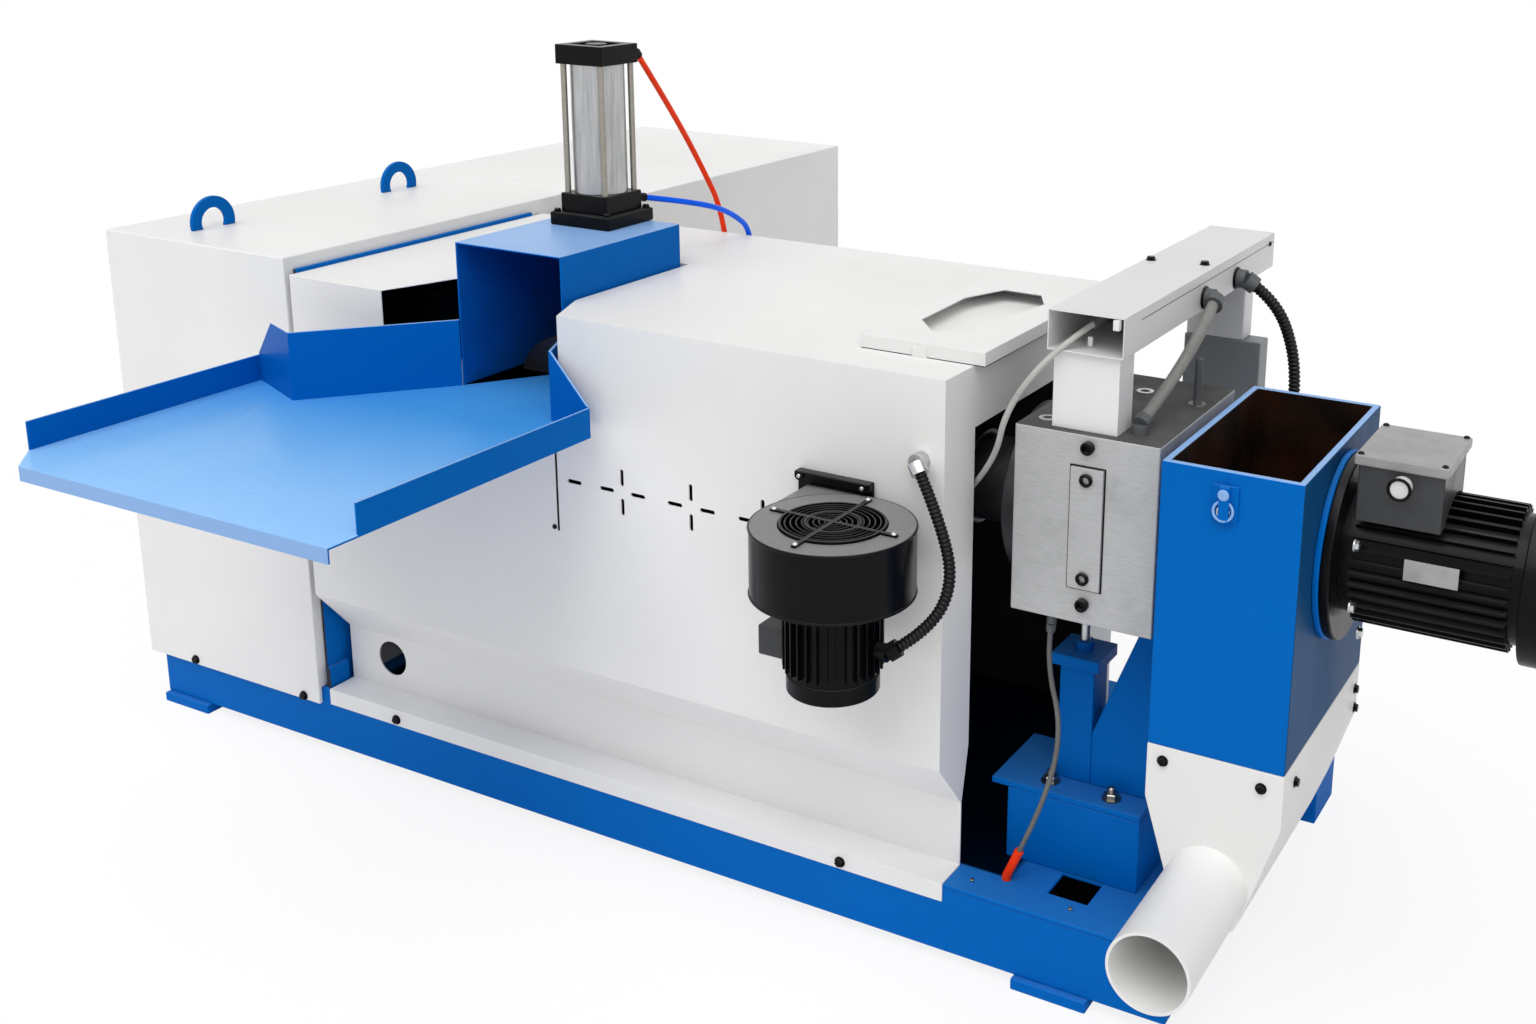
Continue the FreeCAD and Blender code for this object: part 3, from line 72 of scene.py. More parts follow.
def make_camera():
    data = bpy.data.cameras.new("camera")
    data.sensor_width = SENSOR
    data.lens = SENSOR * FOCAL_PIXELS / PHOTO_WIDTH
    data.shift_x = (PHOTO_WIDTH / 2 - CENTRE_X) / PHOTO_WIDTH
    data.shift_y = (CENTRE_Y - PHOTO_HEIGHT / 2) / PHOTO_WIDTH
    data.clip_end = CLIP_END
    camera = bpy.data.objects.new("camera", data)
    axes = Matrix((CAMERA_RIGHT, CAMERA_UP, CAMERA_BACK)).transposed()
    camera.matrix_world = Matrix.Translation(CAMERA_PLACE) @ axes.to_4x4()
    scene.collection.objects.link(camera)
    scene.camera = camera


def make_sun(name, direction, strength, angle):
    data = bpy.data.lights.new(name, "SUN")
    data.energy = strength
    data.angle = math.radians(angle)
    lamp = bpy.data.objects.new(name, data)
    lamp.rotation_mode = "QUATERNION"
    lamp.rotation_quaternion = Vector(direction).to_track_quat("-Z", "Y")
    scene.collection.objects.link(lamp)


def make_world():
    """White to rays from the camera, off metal and through glass; soft light to all others."""
    world = bpy.data.worlds.new("world")
    world.use_nodes = True
    nodes, links = world.node_tree.nodes, world.node_tree.links
    nodes.clear()
    rays = nodes.new("ShaderNodeLightPath")
    seen = nodes.new("ShaderNodeMath")
    seen.operation = "MAXIMUM"
    links.new(rays.outputs["Is Camera Ray"], seen.inputs[0])
    links.new(rays.outputs["Is Transmission Ray"], seen.inputs[1])
    glossy = nodes.new("ShaderNodeMath")
    glossy.operation = "MAXIMUM"
    links.new(seen.outputs[0], glossy.inputs[0])
    links.new(rays.outputs["Is Glossy Ray"], glossy.inputs[1])
    place = nodes.new("ShaderNodeTexCoord")
    parts = nodes.new("ShaderNodeSeparateXYZ")
    links.new(place.outputs["Generated"], parts.inputs[0])
    side = nodes.new("ShaderNodeMapRange")
    for socket, value in zip(side.inputs, (0.0, -1.0, 1.0, SKY_LEFT, SKY_RIGHT)):
        socket.default_value = value
    links.new(parts.outputs[0], side.inputs[0])
    ambient = nodes.new("ShaderNodeBackground")
    ambient.inputs["Color"].default_value = (1.0, 1.0, 1.0, 1)
    links.new(side.outputs[0], ambient.inputs["Strength"])
    white = nodes.new("ShaderNodeBackground")
    white.inputs["Color"].default_value = (1, 1, 1, 1)
    white.inputs["Strength"].default_value = 1.0
    mix = nodes.new("ShaderNodeMixShader")
    output = nodes.new("ShaderNodeOutputWorld")
    links.new(glossy.outputs[0], mix.inputs[0])
    links.new(ambient.outputs[0], mix.inputs[1])
    links.new(white.outputs[0], mix.inputs[2])
    links.new(mix.outputs[0], output.inputs[0])
    scene.world = world


# Materials
NOISE_BAND = (0.3, 0.7)
ORANGE_PEEL = 0.15
PLASTIC_GRAIN = 700
# Painted shade: its fading edge as a share of its rectangle, and the share of the colour it
# keeps
UNLIT_EDGE = (0.985, 1.0)
UNLIT_SHADE = 0.02
# The tray's bed pales with painted sheen between these two places along Y
TRAY_SHEEN_FAR = -0.10
TRAY_SHEEN_NEAR = -0.66
COAT_BLUE = (0.0, 0.125, 0.48)
# Painted shade on the base under the cover: the middle and half size of that place
UNDER_COVER = (1.3225, 0.4225, 0.7625, 0.3525)


class Recipe:
    """A node material under construction, with short calls for its nodes."""

    def __init__(self, name):
        self.material = bpy.data.materials.new(name)
        self.material.use_nodes = True
        self.tree = self.material.node_tree
        self.shader = self.tree.nodes["Principled BSDF"]
        self.place = self.add("ShaderNodeTexCoord").outputs["Object"]

    def add(self, kind, **values):
        node = self.tree.nodes.new(kind)
        for key, value in values.items():
            setattr(node, key, value)
        return node

    def feed(self, socket, source):
        if isinstance(source, bpy.types.NodeSocket):
            self.tree.links.new(source, socket)
        elif isinstance(source, tuple) and len(source) == 3 and socket.type == "RGBA":
            socket.default_value = (*source, 1)
        else:
            socket.default_value = source

    def stretch(self, factors):
        node = self.add("ShaderNodeMapping")
        self.feed(node.inputs["Vector"], self.place)
        self.feed(node.inputs["Scale"], factors)
        return node.outputs[0]

    def noise(self, scale, detail=4.0, rough=0.5, factors=None):
        node = self.add("ShaderNodeTexNoise")
        self.feed(node.inputs["Vector"], self.stretch(factors) if factors else self.place)
        self.feed(node.inputs["Scale"], scale)
        self.feed(node.inputs["Detail"], detail)
        self.feed(node.inputs["Roughness"], rough)
        return node.outputs[0]

    def ramp(self, source, low, high, first=0.0, last=1.0):
        node = self.add("ShaderNodeMapRange")
        for socket, value in zip(node.inputs, (source, low, high, first, last)):
            self.feed(socket, value)
        return node.outputs[0]

    def mix(self, share, first, second):
        node = self.add("ShaderNodeMix", data_type="RGBA")
        self.feed(node.inputs[0], share)
        self.feed(node.inputs[6], first)
        self.feed(node.inputs[7], second)
        return node.outputs[2]

    def multiply(self, first, second):
        node = self.add("ShaderNodeMath", operation="MULTIPLY")
        self.feed(node.inputs[0], first)
        self.feed(node.inputs[1], second)
        return node.outputs[0]

    def reach(self, middle_x, middle_y, half_x, half_y):
        """How far out a place is, as a share of a rectangle's half size."""
        shares = []
        for axis, middle, half in ((0, middle_x, half_x), (1, middle_y, half_y)):
            shift = self.add("ShaderNodeMath", operation="SUBTRACT")
            self.feed(shift.inputs[0], self.part_of(self.place, axis))
            self.feed(shift.inputs[1], middle)
            size = self.add("ShaderNodeMath", operation="ABSOLUTE")
            self.feed(size.inputs[0], shift.outputs[0])
            share = self.add("ShaderNodeMath", operation="DIVIDE")
            self.feed(share.inputs[0], size.outputs[0])
            self.feed(share.inputs[1], half)
            shares.append(share.outputs[0])
        larger = self.add("ShaderNodeMath", operation="MAXIMUM")
        self.feed(larger.inputs[0], shares[0])
        self.feed(larger.inputs[1], shares[1])
        return larger.outputs[0]

    def part_of(self, vector, axis):
        node = self.add("ShaderNodeSeparateXYZ")
        self.feed(node.inputs[0], vector)
        return node.outputs[axis]

    def bump(self, source, strength, distance):
        node = self.add("ShaderNodeBump")
        self.feed(node.inputs["Strength"], strength)
        self.feed(node.inputs["Distance"], distance)
        self.feed(node.inputs["Height"], source)
        self.feed(self.shader.inputs["Normal"], node.outputs[0])

    def set(self, **values):
        for key, value in values.items():
            self.feed(self.shader.inputs[key.replace("_", " ")], value)
        return self.material


def shade(colour, factor):
    return tuple(min(1.0, part * factor) for part in colour)


def make_paint(name, colour, rough=0.38, ior=1.4, top=None, top_share=0.0, unlit=None):
    """Coated metal with faint clouds, specks and streaks, orange peel and a top made paler by
    dust and painted sheen.

    It is painted nearly black as shade within unlit, the middle and half size of a rectangle.
    """
    recipe = Recipe(name)
    clouds = recipe.ramp(recipe.noise(2.3, 3), *NOISE_BAND)
    base = recipe.mix(clouds, shade(colour, 0.965), shade(colour, 1.03))
    specks = recipe.ramp(recipe.noise(95, 2), 0.70, 0.78)
    base = recipe.mix(recipe.multiply(specks, 0.10), base, shade(colour, 0.75))
    # Up-facing faces paler: dust and painted sheen
    if top:
        normal = recipe.add("ShaderNodeNewGeometry").outputs["Normal"]
        facing = recipe.ramp(recipe.part_of(normal, 2), 0.5, 0.95)
        dust_and_sheen = recipe.ramp(recipe.noise(5, 4), 0.25, 0.75, 0.75 * top_share, 1.25 * top_share)
        base = recipe.mix(recipe.multiply(facing, dust_and_sheen), base, top)
    # Painted shade: nearly black within the rectangle
    if unlit:
        within = recipe.ramp(recipe.reach(*unlit), *UNLIT_EDGE, 1.0, 0.0)
        base = recipe.mix(within, base, shade(colour, UNLIT_SHADE))
    streaks = recipe.noise(6, 4, factors=(1.0, 1.0, 0.25))
    roughness = recipe.ramp(streaks, *NOISE_BAND, rough - 0.05, rough + 0.07)
    recipe.bump(recipe.noise(420, 2), ORANGE_PEEL, 0.0004)
    return recipe.set(Base_Color=base, Roughness=roughness, IOR=ior)


def make_metal(name, colour, rough=0.3, metallic=1.0, factors=(1.0, 1.0, 30.0), grain=60):
    """Bare or blackened metal with fine lay lines."""
    recipe = Recipe(name)
    lines = recipe.noise(grain, 3, factors=factors)
    base = recipe.mix(recipe.ramp(lines, *NOISE_BAND), shade(colour, 0.82), shade(colour, 1.12))
    smudges = recipe.ramp(recipe.noise(11, 5), 0.58, 0.75)
    base = recipe.mix(recipe.multiply(smudges, 0.35), base, shade(colour, 0.55))
    roughness = recipe.ramp(recipe.noise(14, 4), *NOISE_BAND, rough - 0.06, rough + 0.1)
    recipe.bump(lines, 0.12, 0.0003)
    return recipe.set(Base_Color=base, Metallic=metallic, Roughness=roughness)


def make_plastic(name, colour, rough=0.45, depth=0.2, ior=1.4):
    """Plastic or rubber with a faint mottle and a fine grain."""
    recipe = Recipe(name)
    mottle = recipe.ramp(recipe.noise(18, 3), *NOISE_BAND)
    base = recipe.mix(mottle, shade(colour, 0.88), shade(colour, 1.12))
    recipe.bump(recipe.noise(PLASTIC_GRAIN, 2), depth, 0.0003)
    gloss = recipe.ramp(recipe.noise(30, 3), *NOISE_BAND, rough - 0.05, rough + 0.08)
    return recipe.set(Base_Color=base, Roughness=gloss, IOR=ior)


def make_tray_top():
    """Blue bed of the tray, paler towards its front edge with painted sheen, and scuffed by
    sliding film.
    """
    recipe = Recipe("tray_bed")
    # Painted sheen: the bed pales towards its front edge
    along = recipe.ramp(recipe.part_of(recipe.place, 1), TRAY_SHEEN_FAR, TRAY_SHEEN_NEAR)
    base = recipe.mix(along, (0.04, 0.28, 0.70), (0.27, 0.56, 0.97))
    scuffs = recipe.ramp(recipe.noise(2.2, 2, factors=(1.0, 0.4, 1.0)), 0.35, 0.8)
    base = recipe.mix(recipe.multiply(scuffs, 0.25), base, (0.22, 0.52, 0.95))
    roughness = recipe.ramp(recipe.noise(7, 4), *NOISE_BAND, 0.22, 0.36)
    recipe.bump(recipe.noise(300, 2), 0.05, 0.0004)
    return recipe.set(Base_Color=base, Roughness=roughness, IOR=1.2)


def make_stained(name, colour, stain, low, high):
    """Metal or paint blotched by heat, oil or molten plastic; also used for the painted shade of
    insides.
    """
    recipe = Recipe(name)
    blotches = recipe.ramp(recipe.noise(8, 6, 0.6), low, high)
    base = recipe.mix(blotches, colour, stain)
    recipe.bump(recipe.noise(60, 4), 0.3, 0.0006)
    roughness = recipe.ramp(recipe.noise(12, 4), *NOISE_BAND, 0.4, 0.65)
    return recipe.set(Base_Color=base, Roughness=roughness, IOR=1.25)


WHITE = make_paint("white_coat", (0.795, 0.79, 0.78), rough=0.42)
WHITE_SATIN = make_paint("white_satin", (0.80, 0.80, 0.80), rough=0.35)
# The blue coat's tops are paler: dust and painted sheen
BLUE = make_paint(
    "blue_coat", COAT_BLUE, rough=0.34, ior=1.11, top=(0.12, 0.34, 0.66), top_share=0.18
)
# The base's coat: tops paler with dust and painted sheen, and painted shade under the cover
BASE_BLUE = make_paint(
    "base_coat", COAT_BLUE, ior=1.11, top=(0.10, 0.32, 0.62), top_share=0.15, unlit=UNDER_COVER
)
# Painted shade: the darker right side of the cutter box
SHADED_SIDE_BLUE = make_paint("shaded_blue_coat", (0.006, 0.060, 0.17), rough=0.4, ior=1.11)
# Painted sheen and highlights: tops of the hood and cutter box, the tray's rims and lip, the
# latch ring
SHEEN_BLUE = make_paint("sheen_blue_coat", (0.24, 0.42, 0.74), rough=0.34, ior=1.25)
# Painted shade inside the feed hood
SHADED_HOOD_BLUE = make_stained("shaded_hood_blue", (0.0, 0.11, 0.46), (0.0, 0.075, 0.31), 0.3, 0.8)
PALE_GREY = make_paint("pale_grey_coat", (0.68, 0.68, 0.68), rough=0.4)
GREY = make_paint("grey_coat", (0.20, 0.21, 0.22), rough=0.42)
# The black coat's tops are paler: painted sheen
BLACK = make_paint(
    "black_coat",
    (0.003, 0.003, 0.0035),
    rough=0.25,
    ior=1.2,
    top=(0.05, 0.05, 0.055),
    top_share=0.6,
)
# Painted sheen on the top of the blower's housing
BLOWER_SHEEN = make_paint("lit_black_coat", (0.20, 0.20, 0.20), rough=0.28, ior=1.25)
BOX_LID = make_plastic("grey_lid", (0.29, 0.29, 0.29), rough=0.35)
BOX_BODY = make_plastic("dark_box", (0.035, 0.037, 0.04), rough=0.35)
DIE_GREY = make_metal("die_steel", (0.46, 0.465, 0.47), rough=0.42, metallic=0.25)
DIE_TOP = make_stained("die_top", (0.085, 0.085, 0.085), (0.045, 0.045, 0.045), 0.4, 0.7)
# Painted shade inside the cutter box, dark brown
SHADED_BROWN = make_stained("shaded_brown_inside", (0.022, 0.006, 0.002), (0.004, 0.002, 0.001), 0.35, 0.6)
SHADE = make_stained("unlit_inside", (0.030, 0.030, 0.032), (0.016, 0.016, 0.017), 0.4, 0.7)
DARK_STEEL = make_metal("dark_steel", (0.05, 0.05, 0.055), rough=0.4, metallic=0.8)
STEEL = make_metal("bright_steel", (0.58, 0.59, 0.60), rough=0.28)
ALUMINIUM = make_metal(
    "aluminium", (0.46, 0.465, 0.47), rough=0.34, factors=(1.0, 1.0, 0.05), grain=220
)
PLATE_GREY = make_metal(
    "plate_grey",
    (0.34, 0.34, 0.34),
    rough=0.45,
    metallic=0.4,
    factors=(1.0, 1.0, 1.0),
    grain=20,
)
GREY_PLASTIC = make_plastic("grey_plastic", (0.085, 0.09, 0.095))
RED_TUBE = make_plastic("red_tube", (1.0, 0.045, 0.003), rough=0.3, depth=0.05, ior=1.2)
BLUE_TUBE = make_plastic("blue_tube", (0.0, 0.12, 0.95), rough=0.3, depth=0.05, ior=1.2)
ZINC = make_metal("zinc", (0.34, 0.32, 0.28), rough=0.35)
BLACK_RUBBER = make_plastic("black_rubber", (0.005, 0.005, 0.0055), rough=0.4, ior=1.3)
GREY_RUBBER = make_plastic("grey_rubber", (0.20, 0.20, 0.19), rough=0.5)
PALE_WIRE = make_plastic("pale_wire", (0.45, 0.45, 0.43), rough=0.4)
EARTH_WIRE = make_plastic("earth_wire", (0.13, 0.13, 0.125), rough=0.35)
TRAY_TOP = make_tray_top()

SLOT_LOOK = {
    "white_paint": WHITE,
    "blue_paint": BLUE,
    "light_grey_paint": PALE_GREY,
    "grey_paint": GREY,
    "die_grey": DIE_GREY,
    "black_paint": BLACK,
    "dark_steel": DARK_STEEL,
    "bright_steel": STEEL,
    "aluminium": ALUMINIUM,
    "grey_plastic": GREY_PLASTIC,
    "red_tube": RED_TUBE,
    "blue_tube": BLUE_TUBE,
    "black_rubber": BLACK_RUBBER,
    "grey_rubber": GREY_RUBBER,
}
NODE_SLOT = {part["node"]: part["material_slot"] for part in frame["record"]["subparts"]}


# Angles in degrees: flat enough to merge, sharp enough to round, and kept sharp in shading
FLAT_ANGLE = 0.6
ROUND_ANGLE = 25
SKIN_ANGLE = 32
KIT_ANGLE = 35
# Sizes in metres: corners that merge, the round of a plain fold and of a rim
MERGE = 1e-5
FOLD = 0.003
RIM = 0.0006
FOLD_SEGMENTS = 3
RIM_SEGMENTS = 2
# An edge is rounded where both its faces reach further than this many widths of the round
LEAST_REACH = 2.2
EVEN_WEIGHT = 100


def lay(name, mesh, material):
    """Link a finished mesh as a piece of the machine."""
    piece = bpy.data.objects.new(name, mesh)
    if not mesh.materials:
        mesh.materials.append(material)
    scene.collection.objects.link(piece)
    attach(piece, "root")
    return piece


def reach_from_edge(face, edge):
    """How far a face reaches from one of its edges."""
    start = edge.verts[0].co
    along = (edge.verts[1].co - start).normalized()
    arms = [vert.co - start for vert in face.verts]
    return max((arm - along * arm.dot(along)).length for arm in arms)


def soften(bm, width, segments):
    """Round the sharp edges whose two faces both reach well past the round."""
    least_reach = LEAST_REACH * width
    chosen = []
    for edge in bm.edges:
        if len(edge.link_faces) != 2 or edge.calc_face_angle(0) < math.radians(ROUND_ANGLE):
            continue
        if min(reach_from_edge(face, edge) for face in edge.link_faces) > least_reach:
            chosen.append(edge)
    if chosen:
        bmesh.ops.bevel(
            bm,
            geom=chosen,
            offset=width,
            offset_type="OFFSET",
            segments=segments,
            profile=0.5,
            affect="EDGES",
            clamp_overlap=True,
        )


def skin(node, material, fold, regions):
    """A detailed piece over a CAD node: the same form with its folds and rims rounded.

    Each region is a material and a test of a face's middle and normal.
    """
    bm = bmesh.new()
    bm.from_mesh(frame["nodes"][node].data)
    bmesh.ops.remove_doubles(bm, verts=bm.verts, dist=MERGE)
    flat = math.radians(FLAT_ANGLE)
    bmesh.ops.dissolve_limit(bm, angle_limit=flat, verts=bm.verts, edges=bm.edges)
    if fold:
        soften(bm, fold, FOLD_SEGMENTS)
    soften(bm, RIM, RIM_SEGMENTS)
    for face in bm.faces:
        face.material_index = 0
        middle = face.calc_center_median()
        for place, (_, test) in enumerate(regions, 1):
            if test(middle, face.normal):
                face.material_index = place
    mesh = bpy.data.meshes.new(node + "_skin")
    bm.to_mesh(mesh)
    bm.free()
    for look in [material or SLOT_LOOK[NODE_SLOT[node]], *[look for look, _ in regions]]:
        mesh.materials.append(look)
    mesh.shade_smooth()
    mesh.set_sharp_from_angle(angle=math.radians(SKIN_ANGLE))
    piece = lay(node + "_skin", mesh, material)
    even = piece.modifiers.new("even", "WEIGHTED_NORMAL")
    even.weight = EVEN_WEIGHT
    even.keep_sharp = True
    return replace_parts(piece, node)


def mm(*place):
    """A place given in mm, in metres."""
    return Vector(place) / 1000


# Screws: (radius, height) pairs as shares of the size
WASHER = ((0, 0), (1.15, 0), (1.15, 0.2), (0, 0.2))
HEX_HEAD = ((0, 0.2), (0.9, 0.2), (0.9, 0.75), (0.78, 0.85), (0, 0.85))
CAP_HEAD = ((0, 0), (1, 0), (1, 0.85), (0.88, 1), (0.6, 1), (0.52, 0.4), (0, 0.4))
PAN_HEAD = ((0, 0), (1, 0), (0.97, 0.3), (0.75, 0.58), (0.35, 0.7), (0.3, 0.45), (0, 0.45))
HEX_PHASE = 0.3
WIRE_SIDES = 8


class Kit:
    """Small pieces of one material, gathered in one mesh. Sizes are in mm."""

    def __init__(self, name, material, slot):
        self.name, self.material, self.slot = name, material, slot
        self.bm = bmesh.new()

    def turn(self, place, axis, profile, sides=20, phase=0.0):
        """Turn a profile of (radius, height) pairs in mm round an axis."""
        spin = Vector(axis).to_track_quat("Z", "Y").to_matrix()
        rings = []
        for radius, height in profile:
            count = sides if radius else 1
            angles = [phase + math.tau * step / sides for step in range(count)]
            flat = [(radius * math.cos(angle), radius * math.sin(angle)) for angle in angles]
            ring = [place + spin @ mm(*spot, height) for spot in flat]
            rings.append([self.bm.verts.new(spot) for spot in ring])
        for first, second in zip(rings, rings[1:]):
            for step in range(sides):
                after = (step + 1) % sides
                if len(first) == 1:
                    self.bm.faces.new((first[0], second[after], second[step]))
                elif len(second) == 1:
                    self.bm.faces.new((first[step], first[after], second[0]))
                else:
                    self.bm.faces.new((first[step], first[after], second[after], second[step]))

    def block(self, low, high, bevel=0.6):
        """A box between two corners, with its edges rounded."""
        low, high = mm(*low), mm(*high)
        made = bmesh.ops.create_cube(self.bm, size=1.0)["verts"]
        for vert in made:
            spans = zip(low, high, vert.co)
            vert.co = Vector([lo + (part + 0.5) * (hi - lo) for lo, hi, part in spans])
        edges = {edge for vert in made for edge in vert.link_edges}
        bmesh.ops.bevel(
            self.bm,
            geom=list(edges),
            offset=bevel / 1000,
            segments=2,
            profile=0.5,
            affect="EDGES",
        )

    def tube(self, points, radii, sides=10, closed=False):
        """A tube along points, with one radius or a radius for each, all in metres."""
        count = len(points)
        radii = radii if isinstance(radii, list) else [radii] * count
        side = Vector((0, 0, 1))
        rings = []
        for place, point in enumerate(points):
            before = points[place - 1] if place or closed else point
            after = points[(place + 1) % count] if place + 1 < count or closed else point
            along = (after - before).normalized()
            if abs(along.dot(side)) > 0.98:
                side = Vector((1, 0, 0))
            side = (side - along * side.dot(along)).normalized()
            other = along.cross(side)
            angles = [math.tau * step / sides for step in range(sides)]
            arms = [side * math.cos(turn) + other * math.sin(turn) for turn in angles]
            rings.append([self.bm.verts.new(point + radii[place] * arm) for arm in arms])
        for first, second in zip(rings, rings[1:] + (rings[:1] if closed else [])):
            for step in range(sides):
                after = (step + 1) % sides
                self.bm.faces.new((first[step], first[after], second[after], second[step]))
        if not closed:
            self.bm.faces.new(list(reversed(rings[0])))
            self.bm.faces.new(rings[-1])

    def ring(self, place, axis, radius, wire, steps=64):
        """A closed ring of wire, with the wire's own radius."""
        spin = Vector(axis).to_track_quat("Z", "Y").to_matrix()
        angles = [math.tau * step / steps for step in range(steps)]
        arms = [mm(radius * math.cos(turn), radius * math.sin(turn), 0) for turn in angles]
        self.tube([place + spin @ arm for arm in arms], wire / 1000, WIRE_SIDES, True)

    def head(self, place, axis, shares, size, sides, phase=0.0):
        profile = [(radius * size, height * size) for radius, height in shares]
        self.turn(place, axis, profile, sides, phase)

    def hex_bolt(self, place, axis, size):
        self.head(place, axis, WASHER, size, 20)
        self.head(place, axis, HEX_HEAD, size, 6, HEX_PHASE)

    def cap_screw(self, place, axis, size):
        self.head(place, axis, CAP_HEAD, size, 18)

    def pan_screw(self, place, axis, size):
        self.head(place, axis, PAN_HEAD, size, 16)

    def finish(self):
        bmesh.ops.recalc_face_normals(self.bm, faces=self.bm.faces)
        mesh = bpy.data.meshes.new(self.name)
        self.bm.to_mesh(mesh)
        self.bm.free()
        mesh.shade_smooth()
        mesh.set_sharp_from_angle(angle=math.radians(KIT_ANGLE))
        return lay(self.name, mesh, self.material)


# Cords: a route's points are the controls of its curve, so only its ends lie on it
TUBE_SIDES = 18
# Shares of a conduit's radius at the steps of each rib
RIB_SWELL = (0.78, 0.96, 1.0, 0.96)


def make_route(name, points):
    data = bpy.data.curves.new(name, "CURVE")
    data.dimensions = "3D"
    data.resolution_u = 24
    spline = data.splines.new("NURBS")
    spline.points.add(len(points) - 1)
    for point, place in zip(spline.points, points):
        point.co = (*mm(*place), 1)
    spline.order_u = 3
    spline.use_endpoint_u = True
    return bpy.data.objects.new(name, data)


def lay_cord(node, points, length, diameter, material, stiffness, ribs):
    """A smooth tube, or a ribbed one with a rib at each pitch in mm, between two fittings."""
    piece = make_route(node + "_line", points)
    if not ribs:
        piece.data.bevel_depth = diameter / 2000
        piece.data.bevel_resolution = 6
        piece.data.use_fill_caps = True
        piece.data.materials.append(material)
        scene.collection.objects.link(piece)
        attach(piece, "root")
    else:
        line = bpy.data.meshes.new_from_object(piece)
        path = [vert.co.copy() for vert in line.vertices]
        bpy.data.objects.remove(piece)
        kit = Kit(node + "_tube", material, NODE_SLOT[node])
        steps = len(RIB_SWELL) * round(length / ribs)
        spread = [path_point(path, step / steps) for step in range(steps + 1)]
        shares = [RIB_SWELL[step % len(RIB_SWELL)] for step in range(steps + 1)]
        swell = [diameter / 2000 * share for share in shares]
        kit.tube(spread, swell, TUBE_SIDES)
        piece = kit.finish()
    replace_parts(piece, node)


def path_point(path, share):
    """The point at a share of a path's length."""
    runs = [(after - before).length for before, after in zip(path, path[1:])]
    left = share * sum(runs)
    for before, after, run in zip(path, path[1:], runs):
        if left <= run:
            return before.lerp(after, left / run)
        left -= run
    return path[-1].copy()


# The floor: half its side, its tones, and the share of plain white near and far
FLOOR_HALF = 60
FLOOR_TONES = ((0.93, 0.93, 0.93), (0.95, 0.95, 0.95))
FLOOR_ROUGH = 0.9
FLOOR_GLOW = 0.84
GLOW_FADE = (2.6, 6.0)
# Painted shade on the floor beneath the base: its middle and half size, where it darkens and its
# tone
UNDER_BASE = (1.19, 0.43, 1.14, 0.36)
UNDER_EDGE = (0.94, 1.02)
UNDER_SHADE = (0.02, 0.02, 0.02)


def make_floor():
    bm = bmesh.new()
    bmesh.ops.create_grid(bm, x_segments=2, y_segments=2, size=FLOOR_HALF)
    mesh = bpy.data.meshes.new("floor")
    bm.to_mesh(mesh)
    bm.free()
    recipe = Recipe("floor")
    tree = recipe.tree
    far = recipe.add("ShaderNodeVectorMath", operation="LENGTH")
    recipe.feed(far.inputs[0], recipe.place)
    share = recipe.ramp(far.outputs["Value"], *GLOW_FADE, FLOOR_GLOW, 1.0)
    tone = recipe.mix(recipe.ramp(recipe.noise(1.5, 3), *NOISE_BAND), *FLOOR_TONES)
    rays = recipe.add("ShaderNodeLightPath")
    glow = recipe.add("ShaderNodeEmission")
    recipe.feed(glow.inputs["Strength"], 1.0)
    show = recipe.multiply(share, rays.outputs["Is Camera Ray"])
    # Painted shade: the floor beneath the base is dark and doesn't glow
    beside = recipe.ramp(recipe.reach(*UNDER_BASE), *UNDER_EDGE)
    beside.node.interpolation_type = "SMOOTHSTEP"
    show = recipe.multiply(show, beside)
    tone = recipe.mix(beside, UNDER_SHADE, tone)
    recipe.set(Base_Color=tone, Roughness=FLOOR_ROUGH)
    mixer = recipe.add("ShaderNodeMixShader")
    recipe.feed(mixer.inputs[0], show)
    tree.links.new(recipe.shader.outputs[0], mixer.inputs[1])
    tree.links.new(glow.outputs[0], mixer.inputs[2])
    tree.links.new(mixer.outputs[0], tree.nodes["Material Output"].inputs[0])
    mesh.materials.append(recipe.material)
    floor = bpy.data.objects.new("floor", mesh)
    scene.collection.objects.link(floor)


make_camera()
# Each cord: route, length, diameter, material, stiffness and pitch of its ribs; sizes in mm
RED_ROUTE = [
    (1044.7, 433.6, 1482.8),
    (1027, 555, 1367),
    (1012, 672, 1240),
    (1020, 764, 1092),
    (1020, 777, 925),
]
BLUE_ROUTE = [
    (1050.2, 436, 1194.7),
    (1092, 545, 1172),
    (1098, 668, 1133),
    (1080, 788, 1062),
    (1075, 777, 925),
]
DIE_ROUTE = [
    (2279, 401.4, 1135.8),
    (2294, 262, 1082),
    (2274.7, 109.6, 1014.1),
]
CUTTER_ROUTE = [
    (2292, 598.8, 1131.1),
    (2331, 614, 1100),
    (2359, 642, 1010),
    (2369, 634, 924),
    (2378, 570, 856),
    (2383.6, 489.9, 851.2),
]
WIRE_ROUTE = [
    (2186.1, 96.3, 1159.3),
    (2143, 30, 1122),
    (2072, 22, 1020),
    (2036, 64, 912),
    (1962, 118.8, 833.7),
]
EARTH_ROUTE = [
    (2142.5, 69.8, 637.3),
    (2126, 97, 560),
    (2165, 82, 455),
    (2147, 58, 326),
    (2100.3, 64.6, 216.9),
]
BLOWER_ROUTE = [
    (1956.7, -44.9, 910.9),
    (2015, -74, 836),
    (2047, -101, 762),
    (2028, -134, 698),
    (1982.7, -157.4, 663.3),
]
